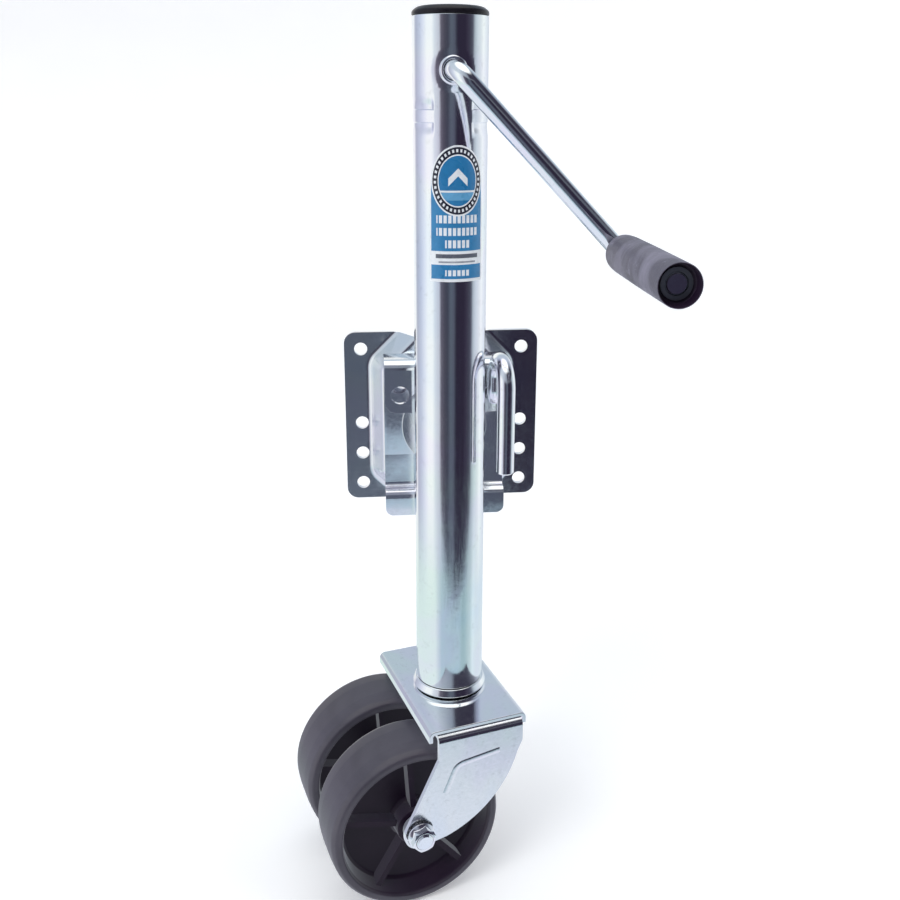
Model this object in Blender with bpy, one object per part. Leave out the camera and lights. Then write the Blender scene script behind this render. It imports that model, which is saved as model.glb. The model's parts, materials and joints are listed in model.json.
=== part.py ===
"""Swing-up trailer tongue jack with a side crank and a twin-wheel swivel caster.

Metres, +Z up.  The origin is the centre of the mounting plate's back face, the plane that
bolts to the trailer frame.  The jack stands in front of the plate, towards -Y.
The caster has its own frame: local +X is its rolling direction, local -Y points along the
axle to the near wheel, and local Z is the swivel axis.
"""

import bpy
import bmesh
from math import acos, atan2, cos, hypot, pi, radians, sin
from mathutils import Vector

MM = 0.001
GAP = 0.3 * MM  # space left between pieces that touch

# Outer tube and its axis
TUBE_R = 25.4 * MM
TUBE_WALL = 3.0 * MM
TUBE_BORE = TUBE_R - TUBE_WALL
TUBE_Y = -79.5 * MM
TUBE_TOP = 296.0 * MM
TUBE_BOTTOM = -188.0 * MM
CAP_TOP = 302.3 * MM
CAP_PLUG = 281.0 * MM  # lower end of the cap's plug
CAP_SKIN = 2.5 * MM
CRIMP_Z = 233.0 * MM
CRIMP_DEPTH = 2.0 * MM
CRIMP_HALF_HEIGHT = 4.0 * MM
CRIMP_HALF_ANGLE = radians(58.0)
BEARING_PLATE_LOW = 230.0 * MM
BEARING_PLATE_HIGH = 236.0 * MM

# Mounting plate with its pressed pan
SHEET = 4.5 * MM
PLATE_HALF_X = 76.5 * MM
PLATE_HALF_Z = 69.0 * MM
PLATE_CORNER = 8.0 * MM
BOLT_R = 5.15 * MM
BOLT_X = 63.5 * MM
BOLT_ROWS = (55.6 * MM, -4.8 * MM, -30.2 * MM, -55.6 * MM)
PAN_HALF_X = 56.0 * MM
PAN_BOTTOM = -60.0 * MM
PAN_TOP_CUT = 22.0 * MM  # size of the pan's upper corner cut
PAN_BOTTOM_CUT = 14.0 * MM
PAN_SLOPE = 9.0 * MM  # how far the walls lean in
PAN_DEPTH = 20.5 * MM
PAN_FRONT = -(SHEET + PAN_DEPTH)

# Swivel bracket on the tube
BRACKET_SHEET = 4.0 * MM
BRACKET_HALF_X = 46.5 * MM
WEB_BACK = PAN_FRONT - GAP
WEB_FRONT = WEB_BACK - BRACKET_SHEET
FLANGE_TOP = 58.0 * MM
TAB_FRONT = -56.5 * MM
TAB_BACK = TAB_FRONT + BRACKET_SHEET
TAB_BOTTOM = 18.0 * MM
TAB_INNER_X = 26.3 * MM
LIP_TOP = -50.0 * MM
LIP_FRONT = -40.0 * MM
LIP_BOTTOM = -71.0 * MM
TAB_CORNER = 8.0 * MM
LIP_CORNER = 5.0 * MM
SADDLE_HALF_X = 16.0 * MM
SADDLE_LOW = -68.0 * MM
SADDLE_HIGH = -54.0 * MM

# Label on the tube
LABEL_LOW = 121.0 * MM
LABEL_HIGH = 215.0 * MM
LABEL_START = radians(-121.0)
LABEL_SPAN = radians(89.0)
LABEL_FILM = 0.2 * MM

# Pivot that the jack swings on
PIVOT_SHANK_R = 12.0 * MM
PIVOT_HEAD_R = 17.0 * MM
PIVOT_HEAD = 5.0 * MM
PIVOT_WASHER_R = 33.0 * MM
PIVOT_WASHER = 3.0 * MM

# Pull pin: a rod bent into a finger loop
PIN_R = 6.35 * MM
PIN_HOLE_R = 6.8 * MM
PIN_X = 35.0 * MM
PIN_Z = 32.0 * MM
PIN_TIP = PAN_FRONT - 2 * GAP
PIN_LOOP_BACK = -69.0 * MM
PIN_LOOP_FRONT = -103.0 * MM
PIN_LOOP_TOP = 63.5 * MM
PIN_GRIP_X = 38.0 * MM
PIN_GRIP_END = -14.5 * MM
COLLAR_BACK = -36.3 * MM
COLLAR_FRONT = -38.8 * MM
COLLAR_R = 9.8 * MM
PIN_BEND = 7.5 * MM
SPRING_R = 8.9 * MM
SPRING_WIRE_R = 0.8 * MM
SPRING_TURNS = 5
COIL_STEPS = 12  # path points in one turn

# Crank
CRANK_Z = 261.8 * MM
CRANK_R = 6.35 * MM
CRANK_BACK = -47.5 * MM
ARM_Y = -130.0 * MM
ARM_BEND = 9.5 * MM
GRIP_X = 107.2 * MM
GRIP_Z = 148.7 * MM
GRIP_R = 12.9 * MM
GRIP_FAR = -140.3 * MM
GRIP_NEAR = -262.3 * MM
GRIP_RECESS = 8.0 * MM
GRIP_RECESS_R = 9.8 * MM
RUN = 0.3 * MM  # radial running clearance
BUSHING_R = 8.6 * MM
BUSHING_HOLE_R = 8.9 * MM
BUSHING_FLANGE_R = 10.4 * MM
BUSHING_FLANGE = 3.6 * MM
CLIP_R = 9.5 * MM
CROSS_PIN_R = 1.5 * MM
CROSS_HOLE_R = 1.8 * MM
PINION_PIN_X = 9.0 * MM  # from the tube's axis towards the front
PINION_HUB_R = 8.7 * MM
PINION_HUB_END_R = 7.2 * MM

# Bevel gears
PINION_TEETH = 12
GEAR_TEETH = 18
PINION_PITCH_R = 11.333 * MM
GEAR_PITCH_R = 17.0 * MM
ADDENDUM = 1.2 * MM
DEDENDUM = 1.7 * MM
FACE_START = 0.75  # inner end of the teeth, as a share of the cone distance

# Screw and nut
SCREW_R = 8.0 * MM
SCREW_ROOT_R = 6.4 * MM
SCREW_LEAD = 7.9375 * MM
SCREW_NECK_R = 6.0 * MM
THREAD_TURNS = 42
THREAD_TOP = 218.0 * MM
SCREW_BOTTOM = -140.0 * MM
SCREW_COLLAR_R = 10.5 * MM
SCREW_COLLAR_LOW = 225.5 * MM
SCREW_COLLAR_TOP = 229.7 * MM
NECK_LOW = 238.8 * MM
NECK_TOP = 251.8 * MM
GEAR_PIN_Z = 243.0 * MM
GEAR_HUB_R = 11.0 * MM
BEARING_LOW = 236.3 * MM
BEARING_R = 15.0 * MM
STOP_R = 14.0 * MM
STOP_LOW = -150.0 * MM
STOP_HIGH = -146.5 * MM
THREAD_SIDES = 12

# Inner tube
INNER_R = TUBE_BORE - RUN
INNER_WALL = 3.0 * MM
INNER_BORE = INNER_R - INNER_WALL
INNER_TOP = 176.0 * MM
INNER_BOTTOM = -193.7 * MM
FOOT_RING_R = 28.4 * MM
FOOT_RING_TOP = -188.4 * MM
BASE_TOP = -187.0 * MM
NUT_LOW = 150.0 * MM
NUT_HIGH = 172.0 * MM

# Caster
CASTER_TURN = radians(16.0)
PLATE_TOP = -196.0 * MM
COVER_SHEET = 3.0 * MM
COVER_HALF_U = 60.5 * MM
COVER_HALF_V = 38.5 * MM
COVER_LIP = 9.0 * MM
YOKE_SHEET = 3.5 * MM
YOKE_TOP = PLATE_TOP - COVER_SHEET - GAP
YOKE_OUTER_U = 63.5 * MM
YOKE_BEND = 6.0 * MM
YOKE_HALF_V = 34.6 * MM
AXLE_V = -47.0 * MM
AXLE_Z = -276.5 * MM
AXLE_R = 6.35 * MM
AXLE_END_U = 75.0 * MM
TOOTH_WASHER = 1.2 * MM
NUT_FLANGE_R = 10.3 * MM
NUT_FLANGE = 2.0 * MM
NUT_FLATS = 16.0 * MM
BOLT_HEAD_FLATS = 19.0 * MM
BOLT_HEAD = 6.5 * MM
LEG_END_R = 12.0 * MM
KINGPIN_R = 8.0 * MM
KINGPIN_HEAD_R = 13.0 * MM
KINGPIN_TOP_R = 12.0 * MM
KINGPIN_TOP = -181.5 * MM
SWIVEL_WASHER_R = 24.0 * MM
LEG_BACK = -225.0 * MM  # where the leg's rear edge leaves the plate-wide part
LEG_FRONT = -217.0 * MM
BELLY = (-52.8 * MM, -202.8 * MM)  # centre of the arc along the leg's front edge
BELLY_R = 86.4 * MM

# Wheels
WHEEL_R = 66.0 * MM
WHEEL_HALF = 23.25 * MM
WHEEL_U = 34.95 * MM
WHEEL_BORE = 8.4 * MM
WHEEL_RIBS = 5
RIB_PHASE = radians(94.0)
BUSH_R = 8.1 * MM
RIM_R = 57.5 * MM
WEB_R = 54.5 * MM
HUB_R = 15.0 * MM
HUB_SHORT = 3.0 * MM  # how far the hub stays behind the rim's face
WEB_HALF = 6.5 * MM
RIB_HALF = 2.0 * MM
RIB_DEPTH = 17.0 * MM
SIDES = 40


# ---------------------------------------------------------------- helpers

def clear_scene():
    for obj in list(bpy.data.objects):
        bpy.data.objects.remove(obj)


def material(name, colour, roughness, metallic):
    mat = bpy.data.materials.new(name)
    mat.use_nodes = True
    shader = mat.node_tree.nodes["Principled BSDF"]
    shader.inputs["Base Color"].default_value = (*colour, 1.0)
    shader.inputs["Roughness"].default_value = roughness
    shader.inputs["Metallic"].default_value = metallic
    return mat


def place(obj, mat, location=(0, 0, 0), rotation=(0, 0, 0), parent=None):
    obj.data.materials.append(mat)
    obj.location = location
    obj.rotation_euler = rotation
    obj.parent = parent
    bpy.context.collection.objects.link(obj)
    return obj


def empty(name, location, rotation=(0, 0, 0), parent=None):
    obj = bpy.data.objects.new(name, None)
    obj.location = location
    obj.rotation_euler = rotation
    obj.parent = parent
    bpy.context.collection.objects.link(obj)
    return obj


def mesh_object(name, bm, mat, **where):
    bmesh.ops.recalc_face_normals(bm, faces=bm.faces)
    mesh = bpy.data.meshes.new(name)
    bm.to_mesh(mesh)
    bm.free()
    mesh.shade_smooth()
    mesh.set_sharp_from_angle(angle=radians(35.0))
    return place(bpy.data.objects.new(name, mesh), mat, **where)


def circle_points(radius, count, start=0.0):
    return [(radius * cos(start + 2 * pi * i / count), radius * sin(start + 2 * pi * i / count))
            for i in range(count)]


def bridge(bm, lower, upper):
    """Faces between two rings of points; a ring of one point is a pole."""
    count = max(len(lower), len(upper))
    for i in range(count):
        corners = [lower[i % len(lower)], lower[(i + 1) % len(lower)],
                   upper[(i + 1) % len(upper)], upper[i % len(upper)]]
        bm.faces.new(list(dict.fromkeys(corners)))


def turned_bmesh(profile, sides=SIDES):
    """A profile of (radius, height) turned about Z; a profile that misses the axis is a ring."""
    bm = bmesh.new()
    rings = []
    for radius, height in profile:
        if radius == 0:
            rings.append([bm.verts.new((0, 0, height))])
        else:
            rings.append([bm.verts.new((x, y, height)) for x, y in circle_points(radius, sides)])
    for lower, upper in zip(rings, rings[1:]):
        bridge(bm, lower, upper)
    if profile[0][0] > 0:
        bridge(bm, rings[-1], rings[0])
    return bm


def turned(name, profile, mat, sides=SIDES, **where):
    return mesh_object(name, turned_bmesh(profile, sides), mat, **where)


def ring_profile(inner, outer, low, high):
    return [(inner, low), (outer, low), (outer, high), (inner, high)]


def prism_bmesh(outline, low, high, axis="Z"):
    """A flat outline pushed out between two planes along an axis."""
    turn = {"X": lambda a, b, c: (c, a, b),
            "Y": lambda a, b, c: (a, c, b),
            "Z": lambda a, b, c: (a, b, c)}[axis]
    bm = bmesh.new()
    bottom = [bm.verts.new(turn(a, b, low)) for a, b in outline]
    top = [bm.verts.new(turn(a, b, high)) for a, b in outline]
    bridge(bm, bottom, top)
    bm.faces.new(bottom)
    bm.faces.new(top)
    return bm


def box_outline(half_a, low_b, high_b):
    return [(-half_a, low_b), (half_a, low_b), (half_a, high_b), (-half_a, high_b)]


def arc(centre, radius, start, end, steps):
    return [(centre[0] + radius * cos(start + (end - start) * i / steps),
             centre[1] + radius * sin(start + (end - start) * i / steps)) for i in range(steps + 1)]


def cutter(name, bm, target, operation="DIFFERENCE", parent=None, location=(0, 0, 0), rotation=(0, 0, 0)):
    """A hidden shape that cuts, trims or joins its target."""
    bmesh.ops.recalc_face_normals(bm, faces=bm.faces)
    mesh = bpy.data.meshes.new(name)
    bm.to_mesh(mesh)
    bm.free()
    obj = bpy.data.objects.new(name, mesh)
    obj.location = location
    obj.rotation_euler = rotation
    obj.parent = parent
    obj.hide_render = True
    obj.display_type = "WIRE"
    bpy.context.collection.objects.link(obj)
    cut = target.modifiers.new(name, "BOOLEAN")
    cut.operation = operation
    cut.object = obj
    return obj


def holes_bmesh(centres, radius, low, high, axis="Y", sides=16):
    """Round cutters along one axis, one for each centre."""
    joined = bmesh.new()
    for a, b in centres:
        outline = [(a + x, b + y) for x, y in circle_points(radius, sides)]
        single = prism_bmesh(outline, low, high, axis)
        bmesh.ops.recalc_face_normals(single, faces=single.faces)
        mesh = bpy.data.meshes.new("hole")
        single.to_mesh(mesh)
        single.free()
        joined.from_mesh(mesh)
        bpy.data.meshes.remove(mesh)
    return joined


def corner_bmesh(corner, radius, side_a, side_b, low, high):
    """What has to go from a square corner in XZ to round it; side_a and side_b point outwards."""
    centre = (corner[0] - side_a * radius, corner[1] - side_b * radius)
    over = 1.0 * MM
    points = [(centre[0], corner[1] + side_b * over), (corner[0] + side_a * over, corner[1] + side_b * over),
              (corner[0] + side_a * over, centre[1])]
    bend = [(centre[0] + side_a * radius * cos(i * pi / 12), centre[1] + side_b * radius * sin(i * pi / 12))
            for i in range(7)]
    return prism_bmesh(points + bend, low, high, "Y")


def rounded_path(corners, radii, steps=6):
    """A path of straight runs with its corners turned into arcs."""
    points = [Vector(corners[0])]
    for before, corner, after, radius in zip(corners, corners[1:], corners[2:], radii):
        corner = Vector(corner)
        back = (Vector(before) - corner).normalized()
        ahead = (Vector(after) - corner).normalized()
        half = acos(max(-1.0, min(1.0, back.dot(ahead)))) / 2
        centre = corner + (back + ahead).normalized() * radius / sin(half)
        reach = radius * cos(half) / sin(half)
        start = corner + back * reach - centre
        end = corner + ahead * reach - centre
        for i in range(steps + 1):
            points.append(centre + start.slerp(end, i / steps).normalized() * radius)
    points.append(Vector(corners[-1]))
    return points


def rod(name, points, radius, mat, sides=20, **where):
    """A round bar bent along a path, with flat ends."""
    bm = bmesh.new()
    across = (points[1] - points[0]).orthogonal().normalized()
    rings = []
    for i, point in enumerate(points):
        before = points[max(i - 1, 0)]
        after = points[min(i + 1, len(points) - 1)]
        along = (after - before).normalized()
        across = (across - along * across.dot(along)).normalized()
        other = along.cross(across)
        rings.append([bm.verts.new(point + across * a + other * b) for a, b in circle_points(radius, sides)])
    for lower, upper in zip(rings, rings[1:]):
        bridge(bm, lower, upper)
    bm.faces.new(rings[0])
    bm.faces.new(rings[-1])
    return mesh_object(name, bm, mat, **where)


FORWARD = (radians(90.0), 0, 0)  # turns local Z to world -Y, towards the front
BACKWARD = (radians(-90.0), 0, 0)
AXIS_X = (0, radians(90.0), 0)


# ---------------------------------------------------------------- bracket on the trailer

def pan_outline(inset):
    """The pan's left half as (x, z), from the top edge down; the top runs out through the plate's edge."""
    side = PAN_HALF_X - inset
    bottom = PAN_BOTTOM + inset
    lean = inset * (hypot(1, 1) - 1)
    top_corner = PLATE_HALF_Z - PAN_TOP_CUT - lean
    bottom_corner = bottom + PAN_BOTTOM_CUT - lean
    return [(-(side - (PLATE_HALF_Z - top_corner)), PLATE_HALF_Z), (-side, top_corner),
            (-side, bottom_corner), (-(side - PAN_BOTTOM_CUT + lean), bottom)]


def both_sides(left):
    return left + [(-x, z) for x, z in reversed(left)]


def rounded_u():
    """The plate's outer edge from the pan's left rim round to its right rim."""
    turn = PLATE_CORNER
    x_turn = PLATE_HALF_X - turn
    z_turn = PLATE_HALF_Z - turn
    centres = [(-x_turn, z_turn, 90), (-x_turn, -z_turn, 180), (x_turn, -z_turn, 270), (x_turn, z_turn, 0)]
    points = []
    for x, z, start in centres:
        points += arc((x, z), turn, radians(start), radians(start + 90), 4)
    return points


def build_mount_plate(steel):
    bm = bmesh.new()
    base = [bm.verts.new((x, -SHEET, z)) for x, z in both_sides(pan_outline(0))]
    front = [bm.verts.new((x, PAN_FRONT, z)) for x, z in both_sides(pan_outline(PAN_SLOPE))]
    rim = [bm.verts.new((x, -SHEET, z)) for x, z in rounded_u()]
    bm.faces.new(rim + base[::-1])
    bm.faces.new(front)
    for i in range(len(base) - 1):
        bm.faces.new((base[i], base[i + 1], front[i + 1], front[i]))
    plate = mesh_object("mount_plate", bm, steel)
    if plate.data.polygons[0].normal.y > 0:
        plate.data.flip_normals()
    thick = plate.modifiers.new("thickness", "SOLIDIFY")
    thick.solidify_mode = "NON_MANIFOLD"
    thick.nonmanifold_thickness_mode = "CONSTRAINTS"
    thick.thickness = SHEET
    thick.offset = -1.0
    bolts = [(side * BOLT_X, row) for side in (-1, 1) for row in BOLT_ROWS]
    cutter("bolt_holes", holes_bmesh(bolts, BOLT_R, -10 * MM, 5 * MM, sides=20), plate)
    locks = [(PIN_X, PIN_Z), (PIN_Z, -PIN_X), (-PIN_Z, PIN_X)]
    cutter("lock_holes", holes_bmesh(locks, PIN_HOLE_R, PAN_FRONT - 5 * MM, PAN_FRONT + 10 * MM), plate)
    pivot = holes_bmesh([(0, 0)], PIVOT_SHANK_R + RUN, PAN_FRONT - 5 * MM, PAN_FRONT + 10 * MM, sides=24)
    cutter("pivot_hole", pivot, plate)


def build_pivot(steel):
    """A shouldered rivet through the pan, with a wide washer that holds the bracket on."""
    washer_low = -WEB_FRONT + GAP
    washer_high = washer_low + PIVOT_WASHER
    turned("pivot_washer", ring_profile(PIVOT_SHANK_R + RUN, PIVOT_WASHER_R, washer_low, washer_high),
           steel, rotation=FORWARD)
    head_low = washer_high + GAP
    rear = -PAN_FRONT - SHEET - GAP
    tail = [(0, rear - PIVOT_HEAD), (PIVOT_HEAD_R - 2 * MM, rear - PIVOT_HEAD), (PIVOT_HEAD_R, rear - 3 * MM),
            (PIVOT_HEAD_R, rear)]
    head = [(PIVOT_HEAD_R, head_low), (PIVOT_HEAD_R, head_low + 3 * MM),
            (PIVOT_HEAD_R - 3 * MM, head_low + PIVOT_HEAD), (0, head_low + PIVOT_HEAD)]
    profile = [*tail, (PIVOT_SHANK_R, rear), (PIVOT_SHANK_R, head_low), *head]
    turned("pivot_rivet", profile, steel, sides=28, rotation=FORWARD)


# ---------------------------------------------------------------- jack body

def crimp_depth(angle, height):
    """How far the tube's wall is pressed in beside the bearing plate, on both flanks."""
    off_side = min(abs(angle), abs(abs(angle) - pi))
    reach = 1 - off_side / CRIMP_HALF_ANGLE
    if reach <= 0 or height == 0:
        return 0.0
    return CRIMP_DEPTH * reach ** 0.5


def build_outer_tube(steel):
    levels = [(TUBE_BOTTOM, 0), (CRIMP_Z - CRIMP_HALF_HEIGHT, 0), (CRIMP_Z - MM, 1), (CRIMP_Z + MM, 1),
              (CRIMP_Z + CRIMP_HALF_HEIGHT, 0), (TUBE_TOP, 0)]
    bm = bmesh.new()
    rings = []
    for radius, order in ((TUBE_R, levels), (TUBE_BORE, levels[::-1])):
        for z, pressed in order:
            ring = []
            for i in range(SIDES):
                angle = 2 * pi * i / SIDES
                signed = atan2(sin(angle), cos(angle))
                r = radius - crimp_depth(signed, pressed)
                ring.append(bm.verts.new((r * cos(angle), r * sin(angle), z)))
            rings.append(ring)
    for lower, upper in zip(rings, rings[1:] + rings[:1]):
        bridge(bm, lower, upper)
    tube = mesh_object("outer_tube", bm, steel, location=(0, TUBE_Y, 0))
    cutter("crank_holes", holes_bmesh([(0, CRANK_Z)], BUSHING_HOLE_R, -120 * MM, -40 * MM, sides=24), tube)


def build_top_cap(plastic):
    rim = TUBE_R
    plug = TUBE_BORE - GAP
    under = TUBE_TOP + GAP
    inner = plug - CAP_SKIN
    ceiling = CAP_TOP - CAP_SKIN
    dome = [(0, CAP_TOP), (rim - 5 * MM, CAP_TOP), (rim - 1.5 * MM, CAP_TOP - 1.5 * MM), (rim, under + 2 * MM)]
    profile = [*dome, (rim, under), (plug, under), (plug, CAP_PLUG), (inner, CAP_PLUG), (inner, ceiling),
               (0, ceiling)]
    turned("top_cap", profile, plastic, location=(0, TUBE_Y, 0))


def build_bushings(steel):
    bore = CRANK_R + RUN
    front = TUBE_R + GAP
    inner_end = TUBE_BORE - 1.5 * MM
    face = front + BUSHING_FLANGE
    profile = [(bore, inner_end), (BUSHING_R, inner_end), (BUSHING_R, front), (BUSHING_FLANGE_R, front),
               (BUSHING_FLANGE_R, face - 1.4 * MM), (BUSHING_FLANGE_R - 1.2 * MM, face), (bore, face)]
    place_on_axis = (0, TUBE_Y, CRANK_Z)
    turned("crank_bushing_front", profile, steel, sides=28, location=place_on_axis, rotation=FORWARD)
    turned("crank_bushing_rear", profile, steel, sides=28, location=place_on_axis, rotation=BACKWARD)


def bracket_path():
    """The swivel bracket's bent sheet at mid-thickness, seen from the side as (y, z)."""
    half = BRACKET_SHEET / 2
    tab = TAB_FRONT + half
    web = WEB_BACK - half
    lip = LIP_FRONT + half
    corners = [(tab, TAB_BOTTOM), (tab, FLANGE_TOP - half), (web, FLANGE_TOP - half),
               (web, LIP_TOP - half), (lip, LIP_TOP - half), (lip, LIP_BOTTOM)]
    return rounded_path([(0, y, z) for y, z in corners], (5 * MM, 5 * MM, 3.5 * MM, 3.5 * MM), steps=4)


def build_swivel_bracket(steel):
    bm = bmesh.new()
    path = bracket_path()
    left = [bm.verts.new((-BRACKET_HALF_X, p.y, p.z)) for p in path]
    right = [bm.verts.new((BRACKET_HALF_X, p.y, p.z)) for p in path]
    for i in range(len(path) - 1):
        bm.faces.new((left[i], left[i + 1], right[i + 1], right[i]))
    bracket = mesh_object("swivel_bracket", bm, steel)
    thick = bracket.modifiers.new("thickness", "SOLIDIFY")
    thick.thickness = BRACKET_SHEET
    thick.offset = 0.0
    thick.use_even_offset = True
    opening = box_outline(TAB_INNER_X, 0, FLANGE_TOP - 7 * MM)
    cutter("tab_window", prism_bmesh(opening, TAB_FRONT - 5 * MM, TAB_BACK + 5 * MM, "Y"), bracket)
    notch = holes_bmesh([(0, TUBE_Y)], TUBE_R + GAP, 10 * MM, 80 * MM, "Z", sides=SIDES)
    cutter("tube_notch", notch, bracket)
    pins = holes_bmesh([(PIN_X, PIN_Z), (-PIN_X, PIN_Z)], PIN_HOLE_R, TAB_FRONT - 5 * MM, WEB_BACK + 5 * MM,
                       sides=20)
    cutter("pin_holes", pins, bracket)
    pivot = holes_bmesh([(0, 0)], PIVOT_SHANK_R + RUN, WEB_FRONT - 5 * MM, WEB_BACK + 5 * MM, sides=28)
    cutter("bracket_pivot_hole", pivot, bracket)
    for side in (-1, 1):
        edge = side * BRACKET_HALF_X
        tab = corner_bmesh((edge, TAB_BOTTOM), TAB_CORNER, side, -1, TAB_FRONT - MM, TAB_BACK + MM)
        cutter(f"tab_corner_{side}", tab, bracket)
        lip = corner_bmesh((edge, LIP_BOTTOM), LIP_CORNER, side, -1, LIP_FRONT - MM, LIP_FRONT + 5 * MM)
        cutter(f"lip_corner_{side}", lip, bracket)


def build_tube_saddle(steel):
    """The coped block that joins the bracket's lower lip to the tube."""
    outline = box_outline(SADDLE_HALF_X, TUBE_Y + 21 * MM, LIP_FRONT - GAP)
    saddle = mesh_object("tube_saddle", prism_bmesh(outline, SADDLE_LOW, SADDLE_HIGH), steel)
    over = 10 * MM
    cope = holes_bmesh([(0, TUBE_Y)], TUBE_R + GAP, SADDLE_LOW - over, SADDLE_HIGH + over, "Z", sides=SIDES)
    cutter("saddle_cope", cope, saddle)


def build_bearing_plate(steel):
    profile = ring_profile(SCREW_R + RUN, TUBE_BORE - CRIMP_DEPTH - GAP, BEARING_PLATE_LOW, BEARING_PLATE_HIGH)
    turned("bearing_plate", profile, steel, location=(0, TUBE_Y, 0))


def build_label(film):
    inner = TUBE_R + GAP
    outer = inner + LABEL_FILM
    steps = 12
    section = ((inner, LABEL_LOW), (outer, LABEL_LOW), (outer, LABEL_HIGH), (inner, LABEL_HIGH))
    bm = bmesh.new()
    columns = []
    for i in range(steps + 1):
        angle = LABEL_START + LABEL_SPAN * i / steps
        columns.append([bm.verts.new((r * cos(angle), r * sin(angle), z)) for r, z in section])
    for a, b in zip(columns, columns[1:]):
        bridge(bm, a, b)
    bm.faces.new(columns[0])
    bm.faces.new(columns[-1])
    mesh_object("label", bm, film, location=(0, TUBE_Y, 0))


# ---------------------------------------------------------------- pull pin

def build_pull_pin(steel, spring_steel):
    origin = Vector((PIN_X, 0, PIN_Z))
    holder = empty("pull_pin_axis", origin)
    bend = (PIN_LOOP_BACK - PIN_LOOP_FRONT) / 2
    corners = [(PIN_X, PIN_TIP, PIN_Z), (PIN_X, PIN_LOOP_BACK, PIN_Z), (PIN_X, PIN_LOOP_BACK, PIN_LOOP_TOP),
               (PIN_GRIP_X, PIN_LOOP_FRONT, PIN_LOOP_TOP), (PIN_GRIP_X, PIN_LOOP_FRONT, PIN_GRIP_END)]
    path = rounded_path(corners, (PIN_BEND, bend * 0.995, bend * 0.995), steps=7)
    rod("pull_pin", [p - origin for p in path], PIN_R, steel, parent=holder)
    turned("pin_collar", ring_profile(PIN_R + RUN, COLLAR_R, -COLLAR_BACK, -COLLAR_FRONT), steel, sides=24,
           rotation=FORWARD, parent=holder)
    start = COLLAR_FRONT - GAP - SPRING_WIRE_R
    end = TAB_BACK + GAP + SPRING_WIRE_R
    steps = SPRING_TURNS * COIL_STEPS
    turn = 2 * pi / COIL_STEPS
    coil = [Vector((SPRING_R * cos(turn * i), start + (end - start) * i / steps, SPRING_R * sin(turn * i)))
            for i in range(steps + 1)]
    rod("pin_spring", coil, SPRING_WIRE_R, spring_steel, sides=6, location=origin)


# ---------------------------------------------------------------- crank

def pinion_cross_hole():
    return holes_bmesh([(-PINION_PIN_X, 0)], CROSS_HOLE_R, -20 * MM, 20 * MM, "X", sides=12)


def cross_pin_profile(half_length):
    return [(0, -half_length), (CROSS_PIN_R, -half_length), (CROSS_PIN_R, half_length), (0, half_length)]


def build_crank(steel, dark_steel):
    holder = empty("crank_axis", (0, TUBE_Y, CRANK_Z))
    origin = Vector((0, TUBE_Y, CRANK_Z))
    corners = [(0, CRANK_BACK, CRANK_Z), (0, ARM_Y, CRANK_Z), (GRIP_X, ARM_Y, GRIP_Z),
               (GRIP_X, GRIP_NEAR + GRIP_RECESS - 2 * MM, GRIP_Z)]
    path = rounded_path(corners, (ARM_BEND + 2 * MM, ARM_BEND), steps=6)
    handle = rod("crank_handle", [p - origin for p in path], CRANK_R, steel, parent=holder)
    cutter("pinion_pin_hole", pinion_cross_hole(), handle, parent=holder)
    turned("crank_clip", ring_profile(CRANK_R + RUN, CLIP_R, -31.5 * MM, -29.8 * MM), dark_steel, sides=24,
           rotation=FORWARD, parent=holder)
    return holder


def bevel_gear_bmesh(teeth, pitch_r, cone_depth, direction, back_rings, bore):
    """A straight bevel gear about Z with its cone's apex at the origin.

    The body lies along direction (+1 or -1) from the apex; back_rings are (radius, distance
    from the apex) of the blank behind the teeth.
    """
    cone = hypot(pitch_r, cone_depth)
    out_r, out_d = cone_depth / cone, pitch_r / cone
    pitch = 2 * pi / teeth

    def tooth_ring(scale):
        points = []
        for k in range(teeth):
            for share, lift in ((-0.30, -DEDENDUM), (-0.14, ADDENDUM), (0.14, ADDENDUM), (0.30, -DEDENDUM)):
                radius = scale * (pitch_r + lift * out_r)
                depth = scale * (cone_depth - lift * out_d)
                angle = (k + share) * pitch
                points.append((radius * cos(angle), radius * sin(angle), direction * depth))
        return points

    def plain_ring(radius, depth):
        angles = [(k + share) * pitch for k in range(teeth) for share in (-0.30, -0.14, 0.14, 0.30)]
        return [(radius * cos(a), radius * sin(a), direction * depth) for a in angles]

    inner_depth = FACE_START * (cone_depth + DEDENDUM * out_d)
    inner_root = FACE_START * (pitch_r - DEDENDUM * out_r) - GAP
    shapes = [plain_ring(bore, inner_depth), plain_ring(inner_root, inner_depth), tooth_ring(FACE_START),
              tooth_ring(1.0)]
    shapes += [plain_ring(radius, depth) for radius, depth in back_rings]
    bm = bmesh.new()
    rings = [[bm.verts.new(p) for p in shape] for shape in shapes]
    for lower, upper in zip(rings, rings[1:] + rings[:1]):
        bridge(bm, lower, upper)
    return bm


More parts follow.
